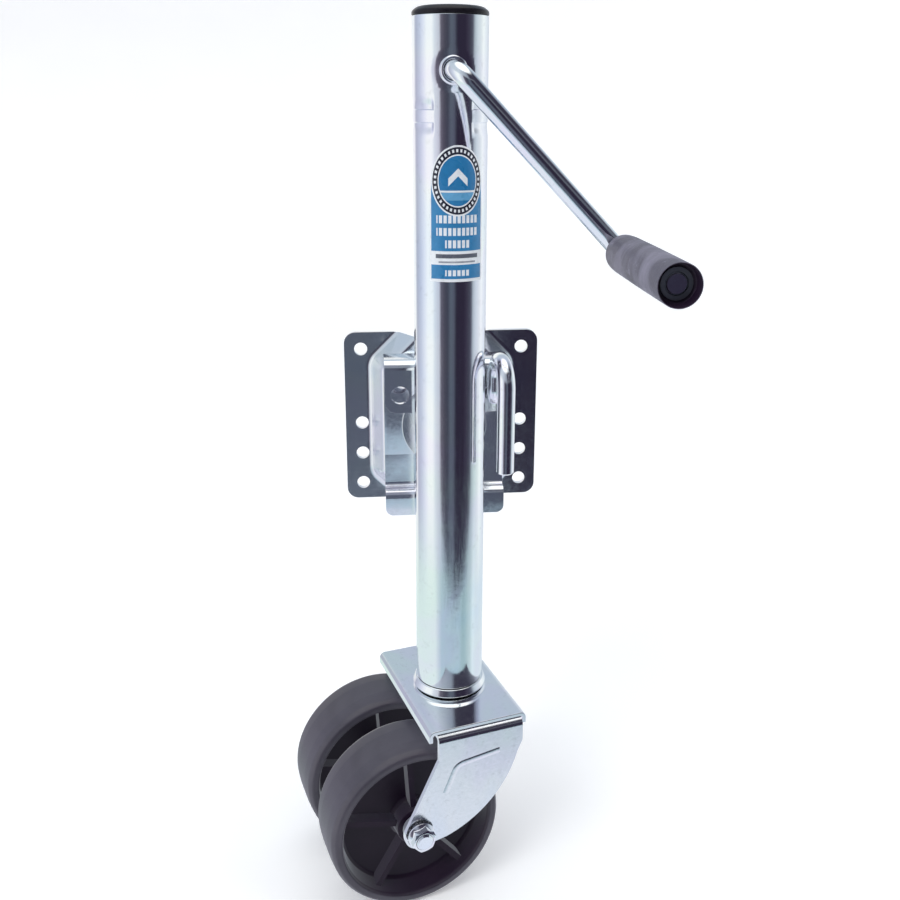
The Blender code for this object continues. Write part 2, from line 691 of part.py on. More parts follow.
def build_drive_pinion(dark_steel, holder):
    """Pinion on the crank, with a hub on the apex side that its cross pin goes through."""
    bore = CRANK_R + RUN
    rings = [(9.9 * MM, GEAR_PITCH_R + 1.5 * MM), (bore, GEAR_PITCH_R + 1.5 * MM)]
    bm = bevel_gear_bmesh(PINION_TEETH, PINION_PITCH_R, GEAR_PITCH_R, 1, rings, bore)
    pinion = mesh_object("drive_pinion", bm, dark_steel, rotation=FORWARD, parent=holder)
    low, step, high = 5.5 * MM, 11.7 * MM, 14.5 * MM
    hub = turned_bmesh([(bore, low), (PINION_HUB_R, low), (PINION_HUB_R, step), (PINION_HUB_END_R, step),
                        (PINION_HUB_END_R, high), (bore, high)], 24)
    cutter("pinion_hub", hub, pinion, "UNION", parent=holder, rotation=FORWARD)
    cutter("pinion_hub_hole", pinion_cross_hole(), pinion, parent=holder)
    turned("pinion_pin", cross_pin_profile(PINION_HUB_R - GAP), dark_steel, sides=12,
           location=(0, -PINION_PIN_X, 0), rotation=AXIS_X, parent=holder)


def build_grip(grip_plastic, dark_steel, holder):
    arm = Vector((GRIP_X, 0, GRIP_Z - CRANK_Z))
    axis = empty("grip_axis", arm, parent=holder)
    bore = CRANK_R + RUN
    far = TUBE_Y - GRIP_FAR
    near = TUBE_Y - GRIP_NEAR
    floor = near - GRIP_RECESS
    shoulder = [(bore, far), (GRIP_R - 2.7 * MM, far), (GRIP_R - 0.9 * MM, far + 2 * MM)]
    body = [(GRIP_R - 0.4 * MM, far + 8 * MM), (GRIP_R, (far + near) / 2), (GRIP_R - 0.2 * MM, near - 8 * MM)]
    mouth = [(GRIP_R - 0.5 * MM, near - 2 * MM), (GRIP_R - 1.5 * MM, near), (GRIP_RECESS_R, near),
             (GRIP_RECESS_R, floor), (bore, floor)]
    turned("hand_grip", shoulder + body + mouth, grip_plastic, sides=28, rotation=FORWARD, parent=axis)
    retainer = ring_profile(bore, GRIP_RECESS_R - 0.6 * MM, floor + GAP, floor + 1.5 * MM)
    turned("grip_retainer", retainer, dark_steel, sides=24, rotation=FORWARD, parent=axis)


# ---------------------------------------------------------------- screw

def thread_bmesh():
    """A left-hand trapezoid thread on a round core, with plain ends."""
    crest = SCREW_R - RUN
    steps = [(0.0, 0.0), (0.22, 1.0), (0.50, 1.0), (0.72, 0.0)]
    count = THREAD_TURNS * THREAD_SIDES
    base = THREAD_TOP - (THREAD_TURNS + 1) * SCREW_LEAD
    bm = bmesh.new()

    def point(k, radius, z):
        angle = -2 * pi * k / THREAD_SIDES
        return bm.verts.new((radius * cos(angle), radius * sin(angle), z))

    rows = []
    for k in range(count + 1):
        fade = min(1.0, k / THREAD_SIDES, (count - k) / THREAD_SIDES)
        z = base + SCREW_LEAD * k / THREAD_SIDES
        rows.append([point(k, SCREW_ROOT_R + (crest - SCREW_ROOT_R) * fade * high, z + SCREW_LEAD * share)
                     for share, high in steps])
    for a, b in zip(rows, rows[1:]):
        for j in range(3):
            bm.faces.new((a[j], b[j], b[j + 1], a[j + 1]))
    for k in range(count + 1 - THREAD_SIDES - 1):
        bm.faces.new((rows[k][3], rows[k + 1][3], rows[k + 1 + THREAD_SIDES][0], rows[k + THREAD_SIDES][0]))

    foot = [point(k, SCREW_ROOT_R, SCREW_BOTTOM) for k in range(THREAD_SIDES)]
    for k in range(THREAD_SIDES - 1):
        bm.faces.new((foot[k], foot[k + 1], rows[k + 1][0], rows[k][0]))
    last = THREAD_SIDES - 1
    bm.faces.new((foot[last], foot[0], *rows[0], rows[THREAD_SIDES][0], rows[last][0]))
    bm.faces.new(foot)

    first = count + 1 - THREAD_SIDES
    seam = rows[first - 1][3]
    collar = [point(first + i, SCREW_ROOT_R, THREAD_TOP + 4 * MM) for i in range(THREAD_SIDES)]
    for k in range(first, count):
        i = k - first
        bm.faces.new((rows[k][3], rows[k + 1][3], collar[i + 1], collar[i]))
    bm.faces.new((seam, rows[first][3], collar[0], collar[last], *reversed(rows[count])))
    return bm, collar


def gear_cross_hole():
    return holes_bmesh([(0, GEAR_PIN_Z)], CROSS_HOLE_R, -25 * MM, 25 * MM, "Y", sides=12)


def build_screw(dark_steel):
    """Lift screw: threaded below the bearing plate, a bearing neck, and a reduced end for the gear."""
    holder = empty("screw_axis", (0, TUBE_Y, 0))
    bm, collar = thread_bmesh()
    rings = [collar]
    angle_of = [atan2(v.co.y, v.co.x) for v in collar]
    for radius, z in ((SCREW_COLLAR_R, SCREW_COLLAR_LOW), (SCREW_COLLAR_R, SCREW_COLLAR_TOP),
                      (SCREW_R, SCREW_COLLAR_TOP), (SCREW_R, NECK_LOW), (SCREW_NECK_R, NECK_LOW),
                      (SCREW_NECK_R, NECK_TOP)):
        rings.append([bm.verts.new((radius * cos(a), radius * sin(a), z)) for a in angle_of])
    for lower, upper in zip(rings, rings[1:]):
        bridge(bm, lower, upper)
    bm.faces.new(rings[-1])
    screw = mesh_object("lift_screw", bm, dark_steel, parent=holder)
    cutter("gear_pin_hole", gear_cross_hole(), screw, parent=holder)

    bore = SCREW_NECK_R + GAP
    gear_back = CRANK_Z - NECK_LOW - GAP
    blank = [(16.0 * MM, 16.2 * MM), (GEAR_HUB_R, 17.2 * MM), (GEAR_HUB_R, gear_back), (bore, gear_back)]
    teeth = bevel_gear_bmesh(GEAR_TEETH, GEAR_PITCH_R, PINION_PITCH_R, -1, blank, bore)
    gear = mesh_object("driven_gear", teeth, dark_steel, location=(0, 0, CRANK_Z), parent=holder)
    cutter("gear_hub_hole", gear_cross_hole(), gear, parent=holder)
    turned("gear_pin", cross_pin_profile(GEAR_HUB_R - 0.5 * MM), dark_steel, sides=12,
           location=(0, 0, GEAR_PIN_Z), rotation=FORWARD, parent=holder)
    bearing = ring_profile(SCREW_R + GAP, BEARING_R, BEARING_LOW, NECK_LOW)
    turned("thrust_bearing", bearing, dark_steel, sides=28, parent=holder)
    stop = ring_profile(SCREW_ROOT_R + GAP, STOP_R, STOP_LOW, STOP_HIGH)
    turned("screw_stop", stop, dark_steel, sides=24, parent=holder)


# ---------------------------------------------------------------- inner tube

def build_inner_tube(steel, brass, dark_steel):
    holder = empty("slide_axis", (0, TUBE_Y, 0))
    turned("inner_tube", ring_profile(INNER_BORE, INNER_R, INNER_BOTTOM, INNER_TOP), steel, parent=holder)
    fit = INNER_BORE - GAP
    chamfer = 1.5 * MM
    bore = SCREW_R + 0.1 * MM
    nut = [(bore, NUT_LOW), (fit - chamfer, NUT_LOW), (fit, NUT_LOW + chamfer), (fit, NUT_HIGH - chamfer),
           (fit - chamfer, NUT_HIGH), (bore, NUT_HIGH)]
    turned("lift_nut", nut, brass, sides=28, parent=holder)
    base = ring_profile(KINGPIN_R + GAP, fit, INNER_BOTTOM, BASE_TOP)
    turned("tube_base", base, steel, sides=28, parent=holder)
    inner = INNER_R + GAP
    outer = FOOT_RING_R
    ring = [(inner, INNER_BOTTOM), (outer - 1.4 * MM, INNER_BOTTOM), (outer, INNER_BOTTOM + 1.4 * MM),
            (outer, FOOT_RING_TOP - 2.2 * MM), (outer - 1.8 * MM, FOOT_RING_TOP), (inner, FOOT_RING_TOP)]
    turned("swivel_ring", ring, steel, parent=holder)
    build_kingpin(dark_steel, holder)


def build_kingpin(dark_steel, holder):
    """The caster's pin: a head under the yoke, and a riveted end over the inner tube's base."""
    head = YOKE_TOP - YOKE_SHEET - GAP
    foot = head - 6 * MM
    seat = BASE_TOP + GAP
    wide = KINGPIN_HEAD_R
    lower = [(0, foot), (wide - 4 * MM, foot), (wide, head - 3 * MM), (wide, head)]
    upper = [(KINGPIN_TOP_R, seat), (KINGPIN_TOP_R, KINGPIN_TOP - 2.5 * MM),
             (KINGPIN_TOP_R - 3 * MM, KINGPIN_TOP), (0, KINGPIN_TOP)]
    profile = [*lower, (KINGPIN_R, head), (KINGPIN_R, seat), *upper]
    turned("kingpin", profile, dark_steel, sides=24, parent=holder)


# ---------------------------------------------------------------- caster

def build_cover_plate(steel, holder):
    """Upper swivel plate: long sides turned down over the yoke."""
    half = COVER_SHEET / 2
    side = COVER_HALF_V - half
    top = PLATE_TOP - half
    foot = PLATE_TOP - COVER_LIP
    corners = [(-side, 0, foot), (-side, 0, top), (side, 0, top), (side, 0, foot)]
    path = rounded_path(corners, (3.0 * MM, 3.0 * MM), steps=4)
    bm = bmesh.new()
    near = [bm.verts.new((p.x, -COVER_HALF_U, p.z)) for p in path]
    far = [bm.verts.new((p.x, COVER_HALF_U, p.z)) for p in path]
    for i in range(len(path) - 1):
        bm.faces.new((near[i], near[i + 1], far[i + 1], far[i]))
    cover = mesh_object("cover_plate", bm, steel, parent=holder)
    thick = cover.modifiers.new("thickness", "SOLIDIFY")
    thick.thickness = COVER_SHEET
    thick.offset = 0.0
    thick.use_even_offset = True
    hole = holes_bmesh([(0, 0)], KINGPIN_R + RUN, PLATE_TOP - 6 * MM, PLATE_TOP + 3 * MM, "Z", sides=24)
    cutter("cover_hole", hole, cover, parent=holder)


def leg_outline():
    """The yoke's side view as (v, z): a plate-wide top and a leg that trails back to the axle."""
    end = arc((AXLE_V, AXLE_Z - 1 * MM), LEG_END_R, radians(165), radians(300), 8)
    belly = arc(BELLY, BELLY_R, radians(-72), radians(-16), 8)
    return [(-YOKE_HALF_V, YOKE_TOP + MM), (-YOKE_HALF_V, LEG_BACK), *end, *belly,
            (YOKE_HALF_V, LEG_FRONT), (YOKE_HALF_V, YOKE_TOP + MM)]


def build_yoke(steel, holder):
    """A U-channel across the axle, trimmed to the leg's outline."""
    half = YOKE_SHEET / 2
    wall = YOKE_OUTER_U - half
    top = YOKE_TOP - half
    low = AXLE_Z - 20 * MM
    path = rounded_path([(0, -wall, low), (0, -wall, top), (0, wall, top), (0, wall, low)],
                        (YOKE_BEND - half, YOKE_BEND - half), steps=5)
    bm = bmesh.new()
    left = [bm.verts.new((-70 * MM, p.y, p.z)) for p in path]
    right = [bm.verts.new((50 * MM, p.y, p.z)) for p in path]
    for i in range(len(path) - 1):
        bm.faces.new((left[i], left[i + 1], right[i + 1], right[i]))
    yoke = mesh_object("caster_yoke", bm, steel, parent=holder)
    thick = yoke.modifiers.new("thickness", "SOLIDIFY")
    thick.thickness = YOKE_SHEET
    thick.offset = 0.0
    thick.use_even_offset = True
    cutter("leg_trim", prism_bmesh(leg_outline(), -80 * MM, 80 * MM, "Y"), yoke, "INTERSECT", parent=holder)
    axle = holes_bmesh([(AXLE_V, AXLE_Z)], AXLE_R + GAP, -80 * MM, 80 * MM, "Y", sides=20)
    cutter("axle_holes", axle, yoke, parent=holder)
    hole = holes_bmesh([(0, 0)], KINGPIN_R + RUN, YOKE_TOP - 10 * MM, YOKE_TOP + 5 * MM, "Z", sides=24)
    cutter("yoke_hole", hole, yoke, parent=holder)


def hex_outline(across_flats):
    return circle_points(across_flats / 2 / cos(pi / 6), 6)


def build_axle(steel, dark_steel, holder):
    """A bolt through both legs: head on the far side, flanged nut on a toothed washer on the near side."""
    axis = empty("axle_axis", (AXLE_V, 0, AXLE_Z), rotation=FORWARD, parent=holder)
    leg = YOKE_OUTER_U + GAP
    profile = [(0, -leg - GAP), (AXLE_R, -leg - GAP), (AXLE_R, AXLE_END_U - 1.2 * MM),
               (AXLE_R - 1.2 * MM, AXLE_END_U), (0, AXLE_END_U)]
    axle = turned("axle_bolt", profile, steel, sides=24, parent=axis)
    head = prism_bmesh(hex_outline(BOLT_HEAD_FLATS), -leg - BOLT_HEAD, -leg)
    cutter("bolt_head", head, axle, "UNION", parent=axis)

    washer_front = leg + TOOTH_WASHER
    washer = ring_profile(AXLE_R + GAP, NUT_FLANGE_R - 0.7 * MM, leg, washer_front)
    turned("tooth_washer", washer, dark_steel, sides=24, parent=axis)
    start = washer_front + GAP
    stop = AXLE_END_U - 1.5 * MM
    nut = mesh_object("axle_nut", prism_bmesh(hex_outline(NUT_FLATS), start + MM, stop), steel, parent=axis)
    flange = prism_bmesh(circle_points(NUT_FLANGE_R, 24), start, start + NUT_FLANGE)
    cutter("nut_flange", flange, nut, "UNION", parent=axis)
    bore = holes_bmesh([(0, 0)], AXLE_R + GAP, -90 * MM, 90 * MM, "Z", sides=24)
    cutter("nut_bore", bore, nut, parent=axis)
    for side, end in ((1, "near"), (-1, "far")):
        face = side * (WHEEL_U + WHEEL_HALF - HUB_SHORT + GAP)
        inner = side * (YOKE_OUTER_U - YOKE_SHEET - GAP)
        turned(f"axle_washer_{end}", ring_profile(AXLE_R + GAP, 11 * MM, face, inner), dark_steel, sides=24,
               parent=axis)
    reach = WHEEL_U - WHEEL_HALF + HUB_SHORT - GAP
    spacer = ring_profile(AXLE_R + GAP, 10 * MM, -reach, reach)
    turned("axle_spacer", spacer, dark_steel, sides=24, parent=axis)


def wheel_profile():
    """One wheel's section as (radius, distance from its mid-plane), round the ring once."""
    half = WHEEL_HALF
    tread = [(WHEEL_R - 0.2 * MM, 8 * MM), (WHEEL_R - 0.9 * MM, half - 4 * MM),
             (WHEEL_R - 2.0 * MM, half - 1.3 * MM), (WHEEL_R - 4.0 * MM, half)]
    dish = [(RIM_R, half), (RIM_R - 1 * MM, half - 2 * MM), (WEB_R, WEB_HALF + 0.5 * MM),
            (HUB_R + 1 * MM, WEB_HALF), (HUB_R, half - HUB_SHORT), (WHEEL_BORE, half - HUB_SHORT)]
    edge = tread + dish
    return edge + [(r, -w) for r, w in reversed(edge)]


def ribs_bmesh():
    joined = bmesh.new()
    for i in range(WHEEL_RIBS):
        angle = RIB_PHASE + 2 * pi * i / WHEEL_RIBS
        along = Vector((cos(angle), sin(angle)))
        across = Vector((-sin(angle), cos(angle))) * RIB_HALF
        low = along * (HUB_R - 2 * MM)
        high = along * (RIM_R - 0.5 * MM)
        outline = [tuple(low - across), tuple(low + across), tuple(high + across), tuple(high - across)]
        single = prism_bmesh(outline, -RIB_DEPTH, RIB_DEPTH, "Z")
        bmesh.ops.recalc_face_normals(single, faces=single.faces)
        mesh = bpy.data.meshes.new("rib")
        single.to_mesh(mesh)
        single.free()
        joined.from_mesh(mesh)
        bpy.data.meshes.remove(mesh)
    return joined


def build_wheels(plastic, bush_plastic, holder):
    for side, end in ((1, "near"), (-1, "far")):
        middle = (AXLE_V, -side * WHEEL_U, AXLE_Z)
        axis = empty(f"wheel_axis_{end}", middle, rotation=FORWARD, parent=holder)
        wheel = turned(f"wheel_{end}", wheel_profile(), plastic, parent=axis)
        cutter(f"wheel_ribs_{end}", ribs_bmesh(), wheel, "UNION", parent=axis)
        length = WHEEL_HALF - HUB_SHORT - 0.5 * MM
        bush = ring_profile(AXLE_R + GAP, BUSH_R, -length, length)
        turned(f"wheel_bushing_{end}", bush, bush_plastic, sides=24, parent=axis)


def build_caster(steel, dark_steel, plastic, bush_plastic):
    holder = empty("caster_axis", (0, TUBE_Y, 0), rotation=(0, 0, CASTER_TURN))
    turned("swivel_washer", ring_profile(KINGPIN_R + RUN, SWIVEL_WASHER_R, PLATE_TOP + GAP, -194 * MM),
           dark_steel, sides=32, parent=holder)
    build_cover_plate(steel, holder)
    build_yoke(steel, holder)
    build_axle(steel, dark_steel, holder)
    build_wheels(plastic, bush_plastic, holder)


def main():
    clear_scene()
    zinc = material("zinc_steel", (0.72, 0.74, 0.76), 0.22, 1.0)
    plate_zinc = material("plate_zinc", (0.45, 0.46, 0.48), 0.35, 1.0)
    dark_steel = material("dark_steel", (0.28, 0.28, 0.29), 0.45, 1.0)
    spring_steel = material("spring_steel", (0.55, 0.55, 0.56), 0.35, 1.0)
    bronze = material("bronze", (0.62, 0.44, 0.22), 0.4, 1.0)
    black_cap = material("cap_plastic", (0.02, 0.02, 0.022), 0.45, 0.0)
    grip_vinyl = material("grip_vinyl", (0.09, 0.09, 0.10), 0.6, 0.0)
    wheel_plastic = material("wheel_plastic", (0.06, 0.06, 0.065), 0.5, 0.0)
    bush_plastic = material("bush_plastic", (0.75, 0.74, 0.70), 0.5, 0.0)
    film = material("label_film", (0.05, 0.30, 0.60), 0.3, 0.0)

    build_mount_plate(plate_zinc)
    build_pivot(zinc)
    build_outer_tube(zinc)
    build_top_cap(black_cap)
    build_bushings(zinc)
    build_swivel_bracket(zinc)
    build_tube_saddle(zinc)
    build_bearing_plate(dark_steel)
    build_label(film)
    build_pull_pin(zinc, spring_steel)
    crank = build_crank(zinc, dark_steel)
    build_drive_pinion(dark_steel, crank)
    build_grip(grip_vinyl, dark_steel, crank)
    build_screw(dark_steel)
    build_inner_tube(zinc, bronze, dark_steel)
    build_caster(zinc, dark_steel, wheel_plastic, bush_plastic)


main()
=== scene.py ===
"""Looks of a trailer tongue jack: pieces, materials, floor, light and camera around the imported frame.

The frame's origin is the centre of the mounting plate's back face, +Z up, -Y towards the front.
"""

import json
from functools import partialmethod
from math import acos, atan2, cos, hypot, pi, radians, sin

import bmesh
import bpy
from mathutils import Matrix, Vector


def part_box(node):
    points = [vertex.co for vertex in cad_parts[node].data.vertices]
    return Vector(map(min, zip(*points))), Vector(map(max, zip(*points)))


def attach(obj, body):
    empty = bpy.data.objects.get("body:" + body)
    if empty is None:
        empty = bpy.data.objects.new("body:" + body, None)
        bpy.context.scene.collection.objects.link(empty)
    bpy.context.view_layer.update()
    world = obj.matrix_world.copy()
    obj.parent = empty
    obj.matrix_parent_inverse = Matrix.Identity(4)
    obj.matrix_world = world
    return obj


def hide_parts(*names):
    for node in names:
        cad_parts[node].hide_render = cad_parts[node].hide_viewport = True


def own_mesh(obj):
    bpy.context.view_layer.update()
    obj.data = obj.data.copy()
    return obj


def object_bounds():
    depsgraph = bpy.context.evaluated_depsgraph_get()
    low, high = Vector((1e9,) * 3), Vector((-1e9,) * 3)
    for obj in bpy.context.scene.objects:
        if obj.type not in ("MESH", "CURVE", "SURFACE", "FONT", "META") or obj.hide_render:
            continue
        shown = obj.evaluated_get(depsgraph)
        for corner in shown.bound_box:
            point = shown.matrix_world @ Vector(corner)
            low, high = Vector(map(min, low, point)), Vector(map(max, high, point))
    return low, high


MM = 0.001
GAP = 0.3 * MM
BAR_R = 6.35 * MM  # the half inch bar of the crank and the pull pin
RUN_R = 6.65 * MM  # a hole that such a bar turns in

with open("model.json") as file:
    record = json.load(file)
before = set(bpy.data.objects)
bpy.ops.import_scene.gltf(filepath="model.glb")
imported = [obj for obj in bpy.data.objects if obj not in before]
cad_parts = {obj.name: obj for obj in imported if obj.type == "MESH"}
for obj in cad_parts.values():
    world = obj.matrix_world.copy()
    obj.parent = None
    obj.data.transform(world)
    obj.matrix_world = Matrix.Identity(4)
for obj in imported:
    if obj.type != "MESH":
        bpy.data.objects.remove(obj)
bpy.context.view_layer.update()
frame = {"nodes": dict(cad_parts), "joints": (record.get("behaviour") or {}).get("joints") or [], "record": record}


# Places read from the frame
TUBE_LOW, TUBE_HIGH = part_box("outer_tube")
TUBE_Y = (TUBE_LOW[1] + TUBE_HIGH[1]) / 2
TUBE_R = (TUBE_HIGH[1] - TUBE_LOW[1]) / 2
TUBE_WALL = 3.0 * MM
JOINTS = {j["name"]: j for j in frame["joints"]}
CRANK_Z = JOINTS["crank_turn"]["pos_m"][2]
GRIP_X = JOINTS["grip_spin"]["pos_m"][0]
GRIP_Z = JOINTS["grip_spin"]["pos_m"][2]
WHEEL_AXIS = Vector(JOINTS["near_wheel_roll"]["axis"]).normalized()
WHEEL_CENTRE = Vector(JOINTS["near_wheel_roll"]["pos_m"])
CASTER_TURN = atan2(WHEEL_AXIS.x, -WHEEL_AXIS.y)

FRONT = Matrix.Rotation(radians(90), 4, "X")  # local Z points to the front
LEG = Matrix.Translation((0, TUBE_Y, 0))
CASTER = LEG @ Matrix.Rotation(CASTER_TURN, 4, "Z")
AXLE = Matrix.Translation(WHEEL_CENTRE) @ Matrix.Rotation(CASTER_TURN, 4, "Z") @ FRONT
AXLE_V = (CASTER.inverted() @ WHEEL_CENTRE).x
AXLE_Z = WHEEL_CENTRE.z


# ---- shape helpers

def in_mm(*values):
    return [value * MM for value in values]


def smooth_step(low, high, value):
    share = min(1.0, max(0.0, (value - low) / (high - low)))
    return share * share * (3 - 2 * share)


def rounded(points, radii, steps=5, closed=False):
    """A path with its corners turned into arcs; radii is one radius or one for each corner."""
    points = [Vector(p) for p in points]
    count = len(points)
    corners = range(count) if closed else range(1, count - 1)
    if not hasattr(radii, "__len__"):
        radii = [radii] * len(corners)
    out = [] if closed else [points[0]]
    for i, radius in zip(corners, radii):
        corner = points[i]
        back = points[i - 1] - corner
        ahead = points[(i + 1) % count] - corner
        room = 0.49 * min(back.length, ahead.length)
        back.normalize()
        ahead.normalize()
        half = acos(max(-1.0, min(1.0, back.dot(ahead)))) / 2
        reach = min(room, radius * cos(half) / sin(half))
        radius = reach * sin(half) / cos(half)
        if radius < 1e-6:
            out.append(corner)
            continue
        middle = corner + (back + ahead).normalized() * radius / sin(half)
        start = corner + back * reach - middle
        end = corner + ahead * reach - middle
        turn = start.angle(end)
        for k in range(steps + 1):
            t = k / steps
            out.append(middle + (start * sin((1 - t) * turn) + end * sin(t * turn)) / sin(turn))
    return out if closed else out + [points[-1]]


def circle(radius, count, start=0.0):
    angles = [start + 2 * pi * i / count for i in range(count)]
    return [(radius * cos(angle), radius * sin(angle)) for angle in angles]


def arc(centre, radius, start, end, steps):
    angles = [start + (end - start) * i / steps for i in range(steps + 1)]
    return [(centre[0] + radius * cos(angle), centre[1] + radius * sin(angle)) for angle in angles]


def bridge(bm, lower, upper, around=True):
    count = max(len(lower), len(upper))
    for i in range(count if around else count - 1):
        corners = [lower[i % len(lower)], lower[(i + 1) % len(lower)],
                   upper[(i + 1) % len(upper)], upper[i % len(upper)]]
        bm.faces.new(list(dict.fromkeys(corners)))


def join(bm, rings, around=True):
    for lower, upper in zip(rings, rings[1:]):
        bridge(bm, lower, upper, around)


def turned(profile, sides=96):
    """A profile of (radius, height) turned about Z; one that misses the axis closes into a ring."""
    bm = bmesh.new()
    rings = []
    for point in profile:
        radius, height = point[0], point[1]
        if radius < 1e-7:
            rings.append([bm.verts.new((0, 0, height))])
        else:
            rings.append([bm.verts.new((x, y, height)) for x, y in circle(radius, sides)])
    join(bm, rings)
    if profile[0][0] > 1e-7:
        bridge(bm, rings[-1], rings[0])
    return bm


def soft_turned(profile, radii, sides=96, steps=4):
    """As turned, with the profile's corners rounded."""
    closed = profile[0][0] > 1e-7
    path = rounded([(r, z, 0) for r, z in profile], radii, steps, closed)
    return turned([(p.x, p.y) for p in path], sides)


def forward_span(node):
    """A node's extent along the axis that points to the front."""
    low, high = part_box(node)
    return -high[1], -low[1]


def ring(inner, outer, low, high):
    return [(inner, low), (outer, low), (outer, high), (inner, high)]


def prism(outline, low, high, axis="Z"):
    """An outline in the other two axes, drawn out between two places along the axis."""
    bm = bmesh.new()
    place = "XYZ".index(axis)
    bottom, top = ([bm.verts.new((*point[:place], at, *point[place:])) for point in outline]
                   for at in (low, high))
    bridge(bm, bottom, top)
    bm.faces.new(bottom)
    bm.faces.new(top)
    return bm


def pins(centres, radius, low, high, axis="Y", sides=40):
    """Round cutters along one axis."""
    out = []
    for a, b in centres:
        out.append(prism([(a + x, b + y) for x, y in circle(radius, sides)], low, high, axis))
    return out


def swept(path, radii, sides=32, spin=0.0):
    """A round bar along a path; radii is one radius or one for each point."""
    if not hasattr(radii, "__len__"):
        radii = [radii] * len(path)
    bm = bmesh.new()
    across = (path[1] - path[0]).orthogonal().normalized()
    rings = []
    for i, point in enumerate(path):
        along = (path[min(i + 1, len(path) - 1)] - path[max(i - 1, 0)]).normalized()
        across = (across - along * across.dot(along)).normalized()
        other = along.cross(across)
        rings.append([bm.verts.new(point + across * a + other * b) for a, b in circle(radii[i], sides, spin)])
    join(bm, rings)
    bm.faces.new(rings[0])
    bm.faces.new(rings[-1])
    return bm


def chamfered(path, radius, chamfer):
    """The path with short end runs added, and radii that chamfer both ends."""
    first = path[0] + (path[1] - path[0]).normalized() * chamfer
    last = path[-1] + (path[-2] - path[-1]).normalized() * chamfer
    points = [path[0], first, *path[1:-1], last, path[-1]]
    radii = [radius - chamfer, radius] + [radius] * (len(path) - 2) + [radius, radius - chamfer]
    return points, radii


def sheet(path, across, thickness, low, high):
    """A bent sheet: a mid-thickness path swept between two places along an axis ("X" or "Y")."""
    sides = []
    for i, point in enumerate(path):
        if i == 0:
            along = path[1] - point
        elif i == len(path) - 1:
            along = point - path[i - 1]
        else:
            along = (point - path[i - 1]).normalized() + (path[i + 1] - point).normalized()
        along.normalize()
        normal = along.cross(across)
        if 0 < i < len(path) - 1:
            straight = (path[i + 1] - point).normalized()
            normal = normal / max(0.5, normal.dot(straight.cross(across)))
        sides.append((point - normal * thickness / 2, point + normal * thickness / 2))
    outline = [a for a, b in sides] + [b for a, b in reversed(sides)]
    bm = bmesh.new()
    near = [bm.verts.new(p + across * low) for p in outline]
    far = [bm.verts.new(p + across * high) for p in outline]
    bridge(bm, near, far)
    count = len(path)
    for verts in (near, far):
        for i in range(count - 1):
            bm.faces.new((verts[i], verts[i + 1], verts[2 * count - 2 - i], verts[2 * count - 1 - i]))
    bmesh.ops.dissolve_limit(bm, angle_limit=radians(0.5), verts=bm.verts, edges=bm.edges)
    return bm


def scene_object(name, data):
    obj = bpy.data.objects.new(name, data)
    bpy.context.scene.collection.objects.link(obj)
    return obj


def linked_object(name, bm):
    mesh = bpy.data.meshes.new(name)
    bm.to_mesh(mesh)
    bm.free()
    return scene_object(name, mesh)


def loose_object(name, bm):
    bmesh.ops.recalc_face_normals(bm, faces=bm.faces)
    return linked_object(name, bm)


def modified(obj, helpers=()):
    """The object's shape with its modifiers applied; the object and its helpers are removed."""
    bpy.context.view_layer.update()
    graph = bpy.context.evaluated_depsgraph_get()
    mesh = bpy.data.meshes.new_from_object(obj.evaluated_get(graph))
    out = bmesh.new()
    out.from_mesh(mesh)
    bpy.data.meshes.remove(mesh)
    for old in (obj, *helpers):
        bpy.data.objects.remove(old)
    return out


def carved(bm, tools, operation="DIFFERENCE"):
    """The shape after each tool has cut it, joined it or trimmed it."""
    body = loose_object("carved", bm)
    helpers = []
    for tool in tools:
        helper = loose_object("tool", tool)
        cut = body.modifiers.new("cut", "BOOLEAN")
        cut.operation = operation
        cut.solver = "EXACT"
        cut.object = helper
        helpers.append(helper)
    out = modified(body, helpers)
    bmesh.ops.dissolve_limit(out, angle_limit=radians(0.3), verts=out.verts, edges=out.edges)
    return out


def piece(name, bm, mat, body, nodes, at=None, edge=0.0, sharp=35.0):
    """A finished piece: smooth shading, rounded edges, its body and the CAD nodes it stands for."""
    obj = loose_object(name, bm)
    obj.data.shade_smooth()
    obj.data.set_sharp_from_angle(angle=radians(sharp))
    obj.data.materials.append(mat)
    if at is not None:
        obj.matrix_world = at
    if edge:
        bevel = obj.modifiers.new("edges", "BEVEL")
        bevel.width = edge
        bevel.segments = 2
        bevel.limit_method = "ANGLE"
        bevel.angle_limit = radians(32)
        bevel.harden_normals = True
        bevel.miter_outer = "MITER_ARC"
    else:
        even = obj.modifiers.new("even_normals", "WEIGHTED_NORMAL")
        even.keep_sharp = True
    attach(obj, body)
    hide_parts(*nodes)
    return obj


# ---- materials

